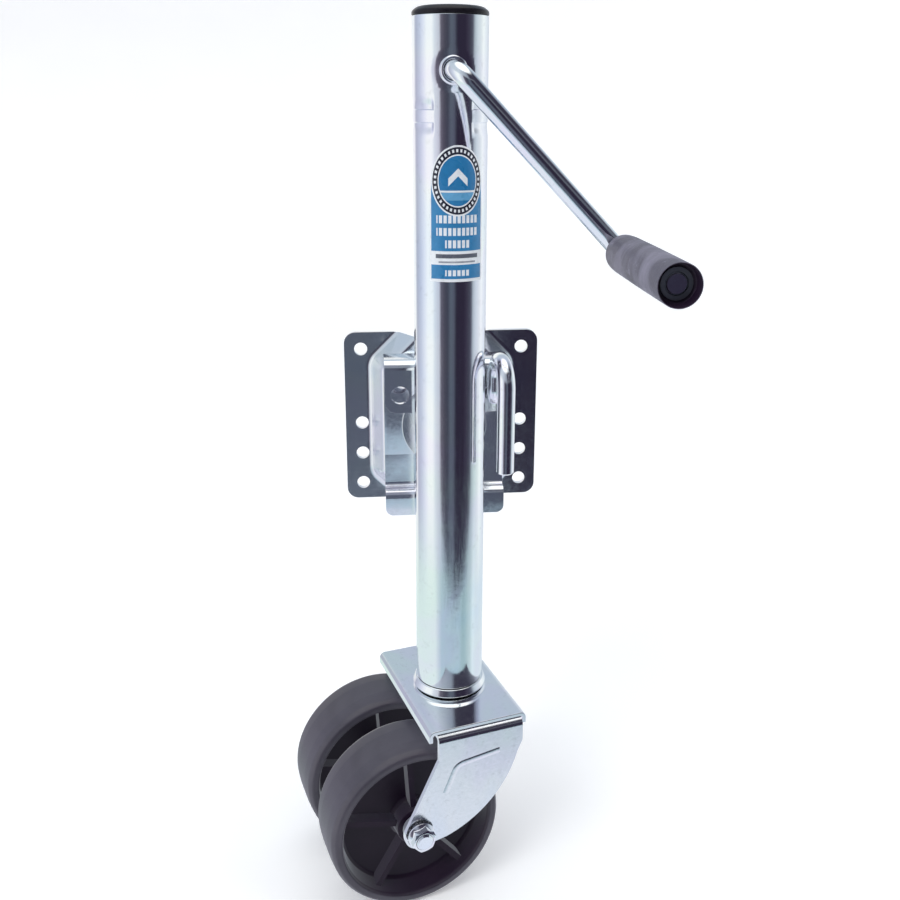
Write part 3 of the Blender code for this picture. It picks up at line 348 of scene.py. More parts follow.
class Graph:
    """Short calls for building the nodes of one new material, or of the world."""

    def __init__(self, name, world=None):
        self.mat = world or bpy.data.materials.new(name)
        self.mat.use_nodes = True
        self.nodes = self.mat.node_tree.nodes
        self.links = self.mat.node_tree.links
        self.shader = self.nodes["Background" if world else "Principled BSDF"]
        self.place = self.nodes.new("ShaderNodeTexCoord").outputs["Generated" if world else "Object"]

    def set(self, **values):
        for key, value in values.items():
            self.shader.inputs[key.replace("_", " ")].default_value = value

    def link(self, source, target):
        self.links.new(source, self.shader.inputs[target])

    def fill(self, socket, value):
        """Sets a number or a colour on a socket, or links another socket to it."""
        if isinstance(value, (int, float)):
            socket.default_value = value
        elif isinstance(value, tuple):
            socket.default_value = (*value, 1.0)
        else:
            self.links.new(value, socket)

    def scaled(self, scale, source=None):
        node = self.nodes.new("ShaderNodeMapping")
        node.inputs["Scale"].default_value = scale
        self.links.new(source or self.place, node.inputs["Vector"])
        return node.outputs["Vector"]

    def noise(self, scale, detail=3.0, rough=0.5, vector=None, distortion=0.0):
        node = self.nodes.new("ShaderNodeTexNoise")
        node.inputs["Scale"].default_value = scale
        node.inputs["Detail"].default_value = detail
        node.inputs["Roughness"].default_value = rough
        node.inputs["Distortion"].default_value = distortion
        self.links.new(vector or self.place, node.inputs["Vector"])
        return node.outputs["Fac"]

    def ramp(self, value, stops, mode="LINEAR"):
        node = self.nodes.new("ShaderNodeValToRGB")
        node.color_ramp.interpolation = mode
        points = node.color_ramp.elements
        while len(points) < len(stops):
            points.new(0.5)
        for point, (position, colour) in zip(points, stops):
            point.position = position
            point.color = (*colour, 1.0) if hasattr(colour, "__len__") else (colour, colour, colour, 1.0)
        self.links.new(value, node.inputs["Fac"])
        return node.outputs["Color"]

    def math(self, operation, a, b=0.0):
        node = self.nodes.new("ShaderNodeMath")
        node.operation = operation
        for socket, value in zip(node.inputs, (a, b)):
            self.fill(socket, value)
        return node.outputs["Value"]

    plus = partialmethod(math, "ADD")
    minus = partialmethod(math, "SUBTRACT")
    times = partialmethod(math, "MULTIPLY")
    above = partialmethod(math, "GREATER_THAN")
    below = partialmethod(math, "LESS_THAN")

    def length(self, a, b):
        return self.math("SQRT", self.plus(self.times(a, a), self.times(b, b)))

    def between(self, value, a, b):
        return self.times(self.above(value, a), self.below(value, b))

    def mapped(self, value, low, high, from_low=0.0, from_high=1.0):
        node = self.nodes.new("ShaderNodeMapRange")
        self.links.new(value, node.inputs["Value"])
        numbers = {"From Min": from_low, "From Max": from_high, "To Min": low, "To Max": high}
        for key, number in numbers.items():
            node.inputs[key].default_value = number
        return node.outputs["Result"]

    def spread(self, noise, low, high):
        """A noise's usual range, 0.3 to 0.7, mapped to other limits."""
        return self.mapped(noise, low, high, 0.3, 0.7)

    def mixed(self, factor, a, b, mode="MIX"):
        """Two colours mixed; a Mix node's colours are its inputs 6 and 7 and its output 2."""
        node = self.nodes.new("ShaderNodeMix")
        node.data_type = "RGBA"
        node.blend_type = mode
        for socket, value in ((node.inputs["Factor"], factor), (node.inputs[6], a), (node.inputs[7], b)):
            self.fill(socket, value)
        return node.outputs[2]

    def separate(self, source=None):
        node = self.nodes.new("ShaderNodeSeparateXYZ")
        self.links.new(source or self.place, node.inputs["Vector"])
        return node.outputs["X"], node.outputs["Y"], node.outputs["Z"]

    def bump(self, *layers):
        """Bump from (height, distance) layers, one on the other."""
        normal = None
        for height, distance in layers:
            node = self.nodes.new("ShaderNodeBump")
            node.inputs["Strength"].default_value = 1.0
            node.inputs["Distance"].default_value = distance
            self.links.new(height, node.inputs["Height"])
            if normal:
                self.links.new(normal, node.inputs["Normal"])
            normal = node.outputs["Normal"]
        self.link(normal, "Normal")


def bowed(g):
    """Height of a sheet that leans back below its upper flange."""
    x, y, z = g.separate()
    reach = -50 * MM
    below = g.math("MINIMUM", g.minus(z, 18 * MM), 0.0)
    curved = g.math("MAXIMUM", below, reach)
    straight = g.times(g.minus(below, curved), 2 * reach)
    left = g.mapped(x, -1.05, -0.35, -24 * MM, 24 * MM)
    web = g.times(g.above(y, -52 * MM), g.times(g.math("MAXIMUM", z, -24 * MM), -0.045))
    bent = g.plus(g.times(curved, curved), straight)
    return g.times(g.plus(bent, web), left)


def turned_right(g):
    """Height of a plate whose right edge leans back."""
    beyond = g.math("MAXIMUM", g.minus(g.separate()[0], 44 * MM), 0.0)
    return g.times(g.times(beyond, beyond), -2.6)


def zinc(name, level=1.0, low=0.14, high=0.3, grain=(60.0, 60.0, 4.0), bump=2e-5, lean=None):
    """Bright zinc plating: faint blue, violet and green tints, drawn grain, cloudy roughness, small marks."""
    g = Graph(name)
    g.set(Metallic=1.0)
    clouds = g.noise(9.0, 3.0, 0.5, distortion=0.6)
    tints = g.ramp(clouds, [(0.34, (0.84 * level, 0.9 * level, 0.96 * level)),
                            (0.46, (0.91 * level, 0.94 * level, 0.95 * level)),
                            (0.54, (0.91 * level, 0.9 * level, 0.97 * level)),
                            (0.66, (0.88 * level, 0.95 * level, 0.92 * level))])
    spots = g.ramp(g.noise(160.0, 3.0, 0.7), [(0.3, 0.93), (0.42, 1.0)])
    g.link(g.mixed(1.0, tints, spots, "MULTIPLY"), "Base Color")
    streaks = g.noise(14.0, 4.0, 0.6, vector=g.scaled(grain))
    fine = g.noise(900.0, 2.0, 0.5)
    rough = g.plus(g.spread(clouds, low, high), g.spread(streaks, -0.03, 0.05))
    g.link(g.plus(rough, g.spread(fine, -0.02, 0.03)), "Roughness")
    layers = [(lean(g), 1.0)] if lean else []
    g.bump(*layers, (streaks, bump * 1.5), (g.noise(75.0, 3.0, 0.5), bump * 5), (fine, bump * 0.4))
    return g.mat


def plain_steel(name, colour, low=0.3, high=0.5):
    """Turned or blackened steel with a thin oily, uneven film."""
    g = Graph(name)
    g.set(Metallic=1.0)
    film = g.noise(60.0, 4.0, 0.6)
    darker = tuple(c * 0.6 for c in colour)
    g.link(g.ramp(film, [(0.3, darker), (0.65, colour)]), "Base Color")
    g.link(g.spread(film, high, low), "Roughness")
    g.bump((g.noise(500.0, 3.0, 0.6), 3e-5))
    return g.mat


def moulded(name, dark, light, low, high, grain_scale, grain_depth, scuffs=0.0, level=0.5):
    """Moulded plastic: fine skin texture, slight flow marks and scuffs."""
    g = Graph(name)
    g.set(Specular_IOR_Level=level)
    flow = g.noise(22.0, 4.0, 0.6, distortion=0.8)
    colour = g.ramp(flow, [(0.4, dark), (0.6, light)])
    skin = g.noise(grain_scale, 2.0, 0.6)
    if scuffs:
        patches = g.noise(9.0, 6.0, 0.75, vector=g.scaled((30.0, 9.0, 14.0)))
        marks = g.ramp(patches, [(0.6, 0.0), (0.72, scuffs)])
        colour = g.mixed(marks, colour, tuple(min(1.0, c * 3.0 + 0.06) for c in light))
    g.link(colour, "Base Color")
    g.link(g.plus(g.spread(flow, low, high), g.spread(skin, -0.05, 0.05)), "Roughness")
    g.bump((skin, grain_depth), (g.noise(40.0, 2.0, 0.5), grain_depth * 3))
    return g.mat


def wheel_plastic():
    """Black plastic with a few light scuffs; its inside is darker and less specular than its tread: painted shade
    of the wheel's recess.
    """
    g = Graph("wheel_plastic")
    x, y, _ = g.separate()
    radius = g.length(x, y)
    tread = g.mapped(radius, 0.0, 1.0, 56.5 * MM, 59.0 * MM)
    cloud = g.noise(14.0, 4.0, 0.6, distortion=0.8)
    # painted shade: the inside colour is darker than the tread's where the wheel's recess lies in shade
    inside = g.ramp(cloud, [(0.3, (0.01, 0.003, 0.014)), (0.7, (0.018, 0.008, 0.022))])
    outside = g.ramp(cloud, [(0.3, (0.036, 0.031, 0.045)), (0.7, (0.074, 0.066, 0.088))])
    skin = g.noise(1500.0, 2.0, 0.6)
    marks = g.ramp(g.noise(9.0, 6.0, 0.75, vector=g.scaled((9.0, 9.0, 40.0))), [(0.6, 0.0), (0.74, 0.06)])
    colour = g.mixed(marks, g.mixed(tread, inside, outside), (0.18, 0.17, 0.2))
    g.link(colour, "Base Color")
    g.link(g.plus(g.spread(cloud, 0.34, 0.46), g.spread(skin, -0.04, 0.04)), "Roughness")
    g.link(g.mapped(tread, 0.25, 0.65), "Specular IOR Level")
    g.bump((skin, 2e-5), (g.noise(40.0, 2.0, 0.5), 6e-5))
    return g.mat


SHEET_GRAIN = (22.0, 8.0, 30.0)


def main_materials():
    return {
        "zinc": zinc("zinc_leg", 1.0, 0.07, 0.12, bump=8e-6),
        "bright": zinc("zinc_bar", 1.0, 0.08, 0.14, grain=(20.0, 20.0, 20.0), bump=8e-6),
        "pressed": zinc("zinc_pressed", 0.97, 0.14, 0.22, grain=SHEET_GRAIN, bump=1e-5),
        "bracket": zinc("zinc_bracket", 0.97, 0.09, 0.15, grain=SHEET_GRAIN, bump=8e-6, lean=bowed),
        "cover": zinc("zinc_cover", 0.95, 0.05, 0.09, grain=SHEET_GRAIN, bump=6e-6),
        "plate": zinc("zinc_plate", 0.92, 0.13, 0.19, grain=SHEET_GRAIN, bump=8e-6, lean=turned_right),
        "steel": plain_steel("dark_steel", (0.3, 0.3, 0.32)),
        "spring": plain_steel("spring_wire", (0.55, 0.55, 0.57), 0.2, 0.35),
        "bronze": plain_steel("bronze", (0.62, 0.44, 0.22)),
        "cap": moulded("cap_plastic", (0.006, 0.005, 0.008), (0.01, 0.009, 0.013), 0.24, 0.34,
                       1400.0, 2e-5, level=0.22),
        "grip": moulded("grip_vinyl", (0.095, 0.09, 0.122), (0.225, 0.215, 0.275), 0.5, 0.65,
                        700.0, 1.6e-4, 0.25),
        # painted shade: a near-black material standing in for the shade inside the grip's end recess
        "grip_recess_shade": moulded("grip_recess_shade", (0.014, 0.006, 0.02), (0.024, 0.012, 0.032), 0.45, 0.6,
                            900.0, 5e-5),
        "wheel": wheel_plastic(),
        "label": label_material(),
        "bush": moulded("bush_plastic", (0.62, 0.61, 0.56), (0.74, 0.73, 0.68), 0.4, 0.55, 1200.0, 2e-5),
    }


# ---- leg

CRIMP_Z = 233.1 * MM
RIDGE_HALF = 3.4 * MM
CRIMP_DEPTH = 2.3 * MM
CRIMP_STEPS = (-2.4, -1.2, 0.0, 0.3, 0.55, 0.8, 1.1, 1.8, 3.0, 4.2, 5.5, 7.0, 9.0, 11.0)  # mm past the ridge
PLAIN_TOP = 195 * MM  # the tube is plain below this height, so its rings stand farther apart


def tube_radius(radius, angle, z):
    """The tube's wall: a ridge between two dimples pressed on each side, and a flat for the crank."""
    side = min(abs(atan2(sin(turn), cos(turn))) for turn in (angle, angle - pi))
    reach = 0.25 + 0.75 * smooth_step(0.0, radians(34), side)
    reach *= 1 - smooth_step(radians(55), radians(61), side)
    beyond = abs(z - CRIMP_Z) - RIDGE_HALF
    dimple = CRIMP_DEPTH * smooth_step(0, 1.1 * MM, beyond) * (1 - smooth_step(1.1 * MM, 11 * MM, beyond))
    ridge = 0.5 * MM * (1 - (min(0.0, beyond) / RIDGE_HALF) ** 2) if beyond <= 0 else 0.0
    off = hypot(radius * cos(angle), z - CRANK_Z)
    flat = 0.7 * MM * (1 - smooth_step(9 * MM, 15 * MM, off))
    return radius - (dimple + ridge) * reach - flat


def tube_levels(low, high):
    """Heights of the tube's rings: few below, many round the crank and most round the crimp."""
    levels = [low, low + 0.8 * MM, low + 6 * MM]
    z = low + 20 * MM
    while z < high - 1 * MM:
        levels.append(z)
        z += (14 if z < PLAIN_TOP else 2.0) * MM
    levels = [z for z in levels if abs(z - CRIMP_Z) > 14 * MM]
    levels += [CRIMP_Z + side * (RIDGE_HALF + step * MM) for side in (-1, 1) for step in CRIMP_STEPS]
    return sorted(levels) + [high - 0.6 * MM, high]


def build_tube(mats):
    low, high = TUBE_LOW[2], TUBE_HIGH[2]
    levels = tube_levels(low, high)
    sides = 128
    bm = bmesh.new()
    rings = []
    for inner in (False, True):
        base = TUBE_R - (TUBE_WALL if inner else 0)
        for z in (reversed(levels) if inner else levels):
            trim = 0.5 * MM if z in (low, high) and not inner else 0.0
            verts = []
            for i in range(sides):
                angle = 2 * pi * i / sides
                r = tube_radius(base, angle, z) - trim
                verts.append(bm.verts.new((r * cos(angle), r * sin(angle), z)))
            rings.append(verts)
    join(bm, rings + rings[:1])
    bm = carved(bm, pins([(0, CRANK_Z)], 8.9 * MM, -40 * MM, 40 * MM))
    piece("leg_tube", bm, mats["zinc"], "jack", ("outer_tube",), LEG, sharp=40)


def build_cap(mats):
    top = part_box("top_cap")[1][2]
    rim = TUBE_R + 0.1 * MM
    seat = TUBE_HIGH[2] + 0.3 * MM
    plug, bore = 22 * MM, 19.5 * MM
    foot, under = seat - 9 * MM, top - 3 * MM
    profile = [(0, top - 0.3 * MM), (15 * MM, top), (plug, top - 0.6 * MM), (rim, top - 3.4 * MM),
               (rim, seat), (plug, seat), (plug, foot), (bore, foot), (bore, under), (0, under)]
    bm = soft_turned(profile, in_mm(3, 8, 2.4, 0.5, 0.3, 0.3, 0.3, 0.3), steps=6)
    piece("tube_cap", bm, mats["cap"], "jack", ("top_cap",), LEG)


def build_bushings(mats):
    """Rolled bushings whose flanges are pressed down onto the tube."""
    front = TUBE_R - 0.7 * MM + 0.05 * MM
    barrel, flange = 8.4 * MM, 9.3 * MM
    inside, lip = TUBE_R - 4.5 * MM, front + 2.2 * MM
    profile = [(RUN_R, inside), (barrel, inside), (barrel, front), (flange, front),
               (flange, front + 1.1 * MM), (barrel, lip), (RUN_R, lip)]
    for end, turn in (("front", 0.0), ("rear", pi)):
        bm = soft_turned(profile, in_mm(0.2, 0.2, 0.1, 0.4, 0.8, 0.9, 0.5), 64, 5)
        for vert in bm.verts:
            if vert.co.z > front - 0.2 * MM:
                drop = TUBE_R - (TUBE_R ** 2 - vert.co.x ** 2) ** 0.5
                vert.co.z -= drop * 0.75 * smooth_step(RUN_R, 10 * MM, hypot(vert.co.x, vert.co.y))
        at = LEG @ Matrix.Translation((0, 0, CRANK_Z)) @ Matrix.Rotation(turn, 4, "Z") @ FRONT
        piece(f"bushing_{end}", bm, mats["bright"], "jack", (f"crank_bushing_{end}",), at)


LABEL_CENTRE = radians(-83.0)
LABEL_HALF = radians(44.0)
BADGE_HIGH = 23.0 * MM
BADGE_WIDE = 18.2 * MM
WHITE = (0.78, 0.81, 0.84)
BLUE = (0.02, 0.18, 0.4)
PALE_BLUE = (0.12, 0.36, 0.6)
NIGHT = (0.014, 0.015, 0.032)
# Middle, half height and half width in mm, up from the label's lower end
DASHED_BARS = ((42.0, 2.6, 14.5), (33.7, 2.6, 14.5), (25.5, 2.6, 8.5), (6.0, 2.0, 8.5))
PLAIN_BARS = ((16.2, 4.6, 30, WHITE), (17.4, 1.4, 15, (0.1, 0.11, 0.14)),
              (13.4, 0.6, 13, (0.3, 0.32, 0.36)))
# Outer radius in mm of each of the badge's rings
RINGS = ((18.2, WHITE), (17.3, NIGHT), (13.6, WHITE), (12.9, BLUE))


def label_ends():
    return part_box("label")[0][2] + 4 * MM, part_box("label")[1][2]


def label_panel(g, across, z, low, badge_z):
    """White rim, blue field, white bars and a ruled white band; across is measured round the tube."""
    width = g.math("ABSOLUTE", across)

    def bar(middle, half_height, half_width):
        inside = g.between(z, low + (middle - half_height) * MM, low + (middle + half_height) * MM)
        return g.times(inside, g.below(width, half_width * MM))

    field = g.below(width, LABEL_HALF * TUBE_R - 1.2 * MM)
    shade = g.ramp(g.noise(35.0, 2.0), [(0.3, BLUE), (0.7, (0.03, 0.22, 0.46))])
    colour = g.mixed(g.times(field, g.between(z, low + 2.0 * MM, badge_z)), WHITE, shade)
    for place in DASHED_BARS:
        dashes = g.math("SINE", g.times(across, 2 * pi / (3.1 * MM)))
        colour = g.mixed(g.times(bar(*place), g.above(dashes, -0.55)), colour, WHITE)
    for *place, tone in PLAIN_BARS:
        colour = g.mixed(bar(*place), colour, tone)
    return colour


def label_badge(g, colour, across, up):
    """Rings with ticks round a blue disc that has a pale strip, a line and a chevron."""
    radius = g.length(across, up)
    for edge, tone in RINGS:
        colour = g.mixed(g.below(radius, edge * MM), colour, tone)
    turn = g.math("ARCTAN2", up, across)
    beat = g.above(g.math("SINE", g.times(turn, 36.0)), 0.0)
    ticks = g.times(g.between(radius, 14.7 * MM, 16.3 * MM), beat)
    colour = g.mixed(ticks, colour, WHITE)
    inner = g.below(radius, RINGS[-1][0] * MM)
    for low, high, tone in ((-10.0, -6.0, PALE_BLUE), (-5.9, -4.9, WHITE)):
        colour = g.mixed(g.times(inner, g.between(up, low * MM, high * MM)), colour, tone)
    width = g.math("ABSOLUTE", across)
    chevron = g.plus(g.minus(up, 2.5 * MM), g.times(width, 0.8))
    return g.mixed(g.times(g.between(chevron, 0.0, 4.0 * MM), g.below(width, 6.5 * MM)), colour, WHITE)


def label_material():
    """Printed film in thin clear varnish."""
    g = Graph("label_print")
    x, y, z = g.separate()
    low, high = label_ends()
    badge_z = high - BADGE_HIGH
    across = g.times(g.minus(g.math("ARCTAN2", y, x), LABEL_CENTRE), TUBE_R)
    up = g.times(g.minus(z, badge_z), BADGE_WIDE / BADGE_HIGH)
    colour = label_badge(g, label_panel(g, across, z, low, badge_z), across, up)
    wear = g.ramp(g.noise(180.0, 4.0, 0.7), [(0.3, 0.86), (0.5, 1.0)])
    g.link(g.mixed(1.0, colour, wear, "MULTIPLY"), "Base Color")
    g.link(g.spread(g.noise(60.0, 3.0), 0.22, 0.38), "Roughness")
    g.set(Coat_Weight=0.4, Coat_Roughness=0.15)
    g.bump((g.noise(240.0, 3.0), 2e-5))
    return g.mat


def build_label(mats):
    low, high = label_ends()
    badge_z = high - BADGE_HIGH
    rows = []
    columns = 28
    count = 70
    for j in range(count + 1):
        z = low + (high - low) * j / count
        half = LABEL_HALF
        narrow = (BADGE_WIDE + 0.3 * MM) / TUBE_R
        if z > badge_z:
            half = narrow * max(0.02, 1 - min(1.0, (z - badge_z) / BADGE_HIGH) ** 2) ** 0.5
        elif z > badge_z - 14 * MM:
            half = LABEL_HALF + (narrow - LABEL_HALF) * smooth_step(badge_z - 14 * MM, badge_z - 9 * MM, z)
        if z < low + 2 * MM:
            half = LABEL_HALF - radians(1.6) * (1 - ((z - low) / (2 * MM)) ** 0.5)
        rows.append((z, half))
    bm = bmesh.new()
    layers = []
    for lift in (0.1 * MM, 0.32 * MM):
        grid = []
        for z, half in rows:
            angles = [LABEL_CENTRE + half * (2 * i / columns - 1) for i in range(columns + 1)]
            r = TUBE_R + lift
            grid.append([bm.verts.new((r * cos(angle), r * sin(angle), z)) for angle in angles])
        join(bm, grid, around=False)
        right = [row[-1] for row in grid[1:]]
        left = [row[0] for row in grid[-2:0:-1]]
        layers.append([*grid[0], *right, *grid[-1][-2::-1], *left])
    bridge(bm, *layers)
    piece("label_film", bm, mats["label"], "jack", ("label",), LEG)


# ---- bracket on the trailer

SHEET = 4.5 * MM
PLATE_X = 76.5 * MM
PLATE_Z = 69.0 * MM
PAN_FRONT = -25.0 * MM
BOLTS = [(side * 63.5 * MM, row) for side in (-1, 1) for row in in_mm(55.6, -4.8, -30.2, -55.6)]
PIN_X = 35 * MM
PIN_Z = 32 * MM
LOCKS = [(PIN_X, PIN_Z), (PIN_Z, -PIN_X), (-PIN_Z, PIN_X)]
PIVOT_HOLE = 12.3 * MM


def pan_line(inset):
    """The pan's outline (x, z) at an inset from its foot, left top round to right top."""
    side = 56 * MM - inset
    lean = inset * (2 ** 0.5 - 1)
    upper = 47 * MM - lean
    floor = -60 * MM + inset
    lower = floor + 14 * MM - lean
    left = [(-(side - (PLATE_Z - upper)), PLATE_Z, 0), (-side, upper, 0), (-side, lower, 0),
            (-(side - 14 * MM + lean), floor, 0)]
    corners = left + [(-x, z, 0) for x, z, _ in reversed(left)]
    path = rounded(corners, max(3 * MM, 15 * MM - inset), 6)
    return [(p.x, p.y) for p in path]


def pan_section():
    """(inset, y) down the pan's wall with its two bend radii."""
    points = [(-7 * MM, -SHEET, 0), (0, -SHEET, 0), (9 * MM, PAN_FRONT, 0), (16 * MM, PAN_FRONT, 0)]
    return [(p.x, p.y) for p in rounded(points, 5.5 * MM, 7)]


def plate_skin():
    """The plate's outer face: a flange with round corners, and the pan."""
    bm = bmesh.new()
    rings = []
    for inset, y in pan_section():
        rings.append([bm.verts.new((x, y, z)) for x, z in pan_line(inset)])
    join(bm, rings, around=False)
    turn = 9 * MM
    side, top = PLATE_X - turn, PLATE_Z - turn
    rim = []
    for cx, cz, start in ((-side, top, 90), (-side, -top, 180), (side, -top, 270), (side, top, 0)):
        rim += arc((cx, cz), turn, radians(start), radians(start + 90), 8)
    edge = [bm.verts.new((x, -SHEET, z)) for x, z in rim]
    bm.faces.new(edge + rings[0][::-1])
    bm.faces.new(rings[-1])
    bmesh.ops.recalc_face_normals(bm, faces=bm.faces)
    flat = max(bm.faces, key=lambda f: f.calc_area())
    if flat.normal.y > 0:
        bmesh.ops.reverse_faces(bm, faces=bm.faces)
    return bm


def thickened(bm, thickness):
    """The solid sheet behind a skin."""
    skin = linked_object("plate_skin", bm)
    thick = skin.modifiers.new("thickness", "SOLIDIFY")
    thick.solidify_mode = "NON_MANIFOLD"
    thick.nonmanifold_thickness_mode = "CONSTRAINTS"
    thick.thickness = thickness
    thick.offset = -1.0
    return modified(skin)


def build_plate(mats):
    pan = (-32 * MM, -12 * MM)
    tools = pins(BOLTS, 5.15 * MM, -12 * MM, 6 * MM) + pins(LOCKS, 6.7 * MM, *pan)
    tools += pins([(0, 0)], PIVOT_HOLE, *pan)
    side, over = 90 * MM, PLATE_Z + 9 * MM
    outline = [(-side, PLATE_Z), (side, PLATE_Z), (side, over), (-side, over)]
    tools.append(prism(outline, -40 * MM, 10 * MM, "Y"))
    solid = carved(thickened(plate_skin(), SHEET), tools)
    piece("frame_plate", solid, mats["plate"], "trailer_bracket", ("mount_plate",), None,
          edge=0.5 * MM)


def build_pivot(mats):
    low, high = forward_span("pivot_washer")
    bm = soft_turned(ring(PIVOT_HOLE, 33 * MM, low, high), 0.7 * MM)
    piece("pivot_plate_washer", bm, mats["pressed"], "trailer_bracket", ("pivot_washer",), FRONT)
    head = high + GAP
    rear = 20.2 * MM
    shank, wide = 12 * MM, 17 * MM
    profile = [(0, rear - 5 * MM), (14 * MM, rear - 5 * MM), (wide, rear - 2 * MM), (wide, rear),
               (shank, rear), (shank, head), (wide, head), (wide, head + 2 * MM),
               (10 * MM, head + 4.8 * MM), (0, head + 5 * MM)]
    bm = soft_turned(profile, in_mm(2, 1, 0.4, 0.1, 0.1, 0.4, 1.5, 4), 72)
    piece("pivot_stud", bm, mats["bright"], "trailer_bracket", ("pivot_rivet",), FRONT)


# ---- swivel bracket

def corner_tool(corner, radius, side, low, high):
    """Rounds a square lower corner of a sheet in the XZ plane."""
    x, z = corner
    centre = (x - side * radius, z + radius)
    over = 2 * MM
    points = [(centre[0], z - over), (x + side * over, z - over), (x + side * over, centre[1])]
    points += [(centre[0] + side * radius * cos(i * pi / 24), centre[1] - radius * sin(i * pi / 24))
               for i in range(13)]
    return prism(points, low, high, "Y")


def tube_cutter(clearance, low, high):
    """A round cutter where the tube passes."""
    return prism([(x, TUBE_Y + y) for x, y in circle(TUBE_R + clearance, 96)], low, high)


def build_bracket(mats):
    thick = 4.0 * MM
    low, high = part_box("swivel_bracket")
    half_x = high[0]
    web = high[1] - thick / 2
    tab_front = low[1]
    tab = tab_front + thick / 2
    top = high[2] - thick / 2
    tab_low = 18 * MM
    joggle = -50 * MM - thick / 2
    lip = -40 * MM + thick / 2
    corners = [(0, tab, tab_low), (0, tab, top), (0, web, top),
               (0, web, joggle), (0, lip, joggle), (0, lip, low[2])]
    path = rounded(corners, in_mm(5, 5, 6, 6), 8)
    bm = sheet(path, Vector((1, 0, 0)), thick, -half_x, half_x)
    inner = 26.3 * MM
    gap_top = high[2] - 7 * MM
    tools = [prism([(-inner, 0), (inner, 0), (inner, gap_top), (-inner, gap_top)],
                   tab_front - 5 * MM, tab_front + 9 * MM, "Y")]
    tools.append(tube_cutter(0.3 * MM, 10 * MM, 80 * MM))
    tools += pins([(-PIN_X, PIN_Z), (PIN_X, PIN_Z)], 6.8 * MM, tab_front - 5 * MM, -20 * MM)
    tools += pins([(0, 0)], PIVOT_HOLE, -34 * MM, -20 * MM)
    for side in (-1, 1):
        tools.append(corner_tool((side * half_x, tab_low), 9 * MM, side, tab_front - MM, tab_front + 5 * MM))
        tools.append(corner_tool((side * half_x, low[2]), 6 * MM, side, -42 * MM, -34 * MM))
    piece("leg_bracket", carved(bm, tools), mats["bracket"], "jack", ("swivel_bracket",), edge=0.55 * MM)


def build_saddle(mats):
    low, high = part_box("tube_saddle")
    front = TUBE_Y + 20 * MM
    outline = [(low[0], high[1]), (high[0], high[1]), (high[0], front), (low[0], front)]
    bm = prism(outline, low[2], high[2], "Z")
    bm = carved(bm, [tube_cutter(0.2 * MM, low[2] - 5 * MM, high[2] + 5 * MM)])
    piece("leg_saddle", bm, mats["pressed"], "jack", ("tube_saddle",), edge=0.5 * MM)


# ---- pull pin

def build_pull_pin(mats):
    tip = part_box("pull_pin")[1][1]
    back = -69 * MM
    front = -103 * MM
    top = 63.5 * MM
    grip_x = 38 * MM
    corners = [(PIN_X, tip, PIN_Z), (PIN_X, back, PIN_Z), (PIN_X, back, top), (grip_x, front, top),
               (grip_x, front, -14.5 * MM)]
    path = rounded(corners, in_mm(7.5, 16.9, 16.9), 14)
    points, radii = chamfered(path, BAR_R, 1.2 * MM)
    piece("pin_hook", swept(points, radii, 40), mats["bright"], "lock_pin", ("pull_pin",), sharp=30)

    at = Matrix.Translation((PIN_X, 0, PIN_Z)) @ FRONT
    low, high = forward_span("pin_collar")
    bm = soft_turned(ring(6.5 * MM, 9.8 * MM, low, high), 0.5 * MM, 48)
    piece("spring_collar", bm, mats["bright"], "lock_pin", ("pin_collar",), at)
    build_spring(mats, at, high)


def build_spring(mats, at, low):
    """The pin's spring between the tab and the collar, coiled closer towards its ends."""
    wire = 0.8 * MM
    coil = 8.9 * MM
    seat = 52.2 * MM
    start = low + GAP + wire
    end = seat - wire
    coils, per_turn = 6, 24
    count = coils * per_turn
    path = []
    for i in range(count + 1):
        share = smooth_step(0.0, 1.0, i / count) * 0.5 + 0.5 * i / count
        angle = 2 * pi * i / per_turn
        path.append(Vector((coil * cos(angle), coil * sin(angle), start + (end - start) * share)))
    spring = piece("return_spring", swept(path, wire, 10), mats["spring"], "jack", ("pin_spring",), at)
    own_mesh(spring)


# ---- crank

ARM_Y = -130 * MM


def build_crank(mats):
    """The bar, from inside the tube to the end of the grip."""
    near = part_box("hand_grip")[0][1]
    corners = [(0, -47.5 * MM, CRANK_Z), (0, ARM_Y, CRANK_Z), (GRIP_X, ARM_Y, GRIP_Z),
               (GRIP_X, near + 6 * MM, GRIP_Z)]
    path = rounded(corners, in_mm(11.5, 9.5), 16)
    points, radii = chamfered(path, BAR_R, 0.9 * MM)
    piece("crank_bar", swept(points, radii, 40), mats["bright"], "crank", ("crank_handle",), sharp=30)


def build_grip(mats):
    """The vinyl grip; the faces in the recess in its end take a near-black material, painted shade of the recess.
    """
    far, end = (v + TUBE_Y for v in forward_span("hand_grip"))
    length = end - far
    floor = end - 8 * MM
    profile = [(RUN_R, far), (10.6 * MM, far), (12.3 * MM, far + 2.2 * MM), (12.75 * MM, far + 12 * MM),
               (12.9 * MM, far + 0.5 * length), (12.8 * MM, end - 10 * MM), (12.75 * MM, end),
               (12.1 * MM, end), (11.7 * MM, floor), (RUN_R, floor)]
    radii = in_mm(0.1, 1.5, 4, 20, 40, 20, 0.3, 0.3, 1.0, 0.1)
    at = Matrix.Translation((GRIP_X, TUBE_Y, GRIP_Z)) @ FRONT
    grip = piece("vinyl_grip", soft_turned(profile, radii, 72, 6), mats["grip"], "grip", ("hand_grip",), at)
    # painted shade: the faces inside the end recess take the near-black material
    grip.data.materials.append(mats["grip_recess_shade"])
    for face in grip.data.polygons:
        if face.center.z > floor - 0.5 * MM and hypot(face.center.x, face.center.y) < 12.45 * MM:
            face.material_index = 1


# ---- caster

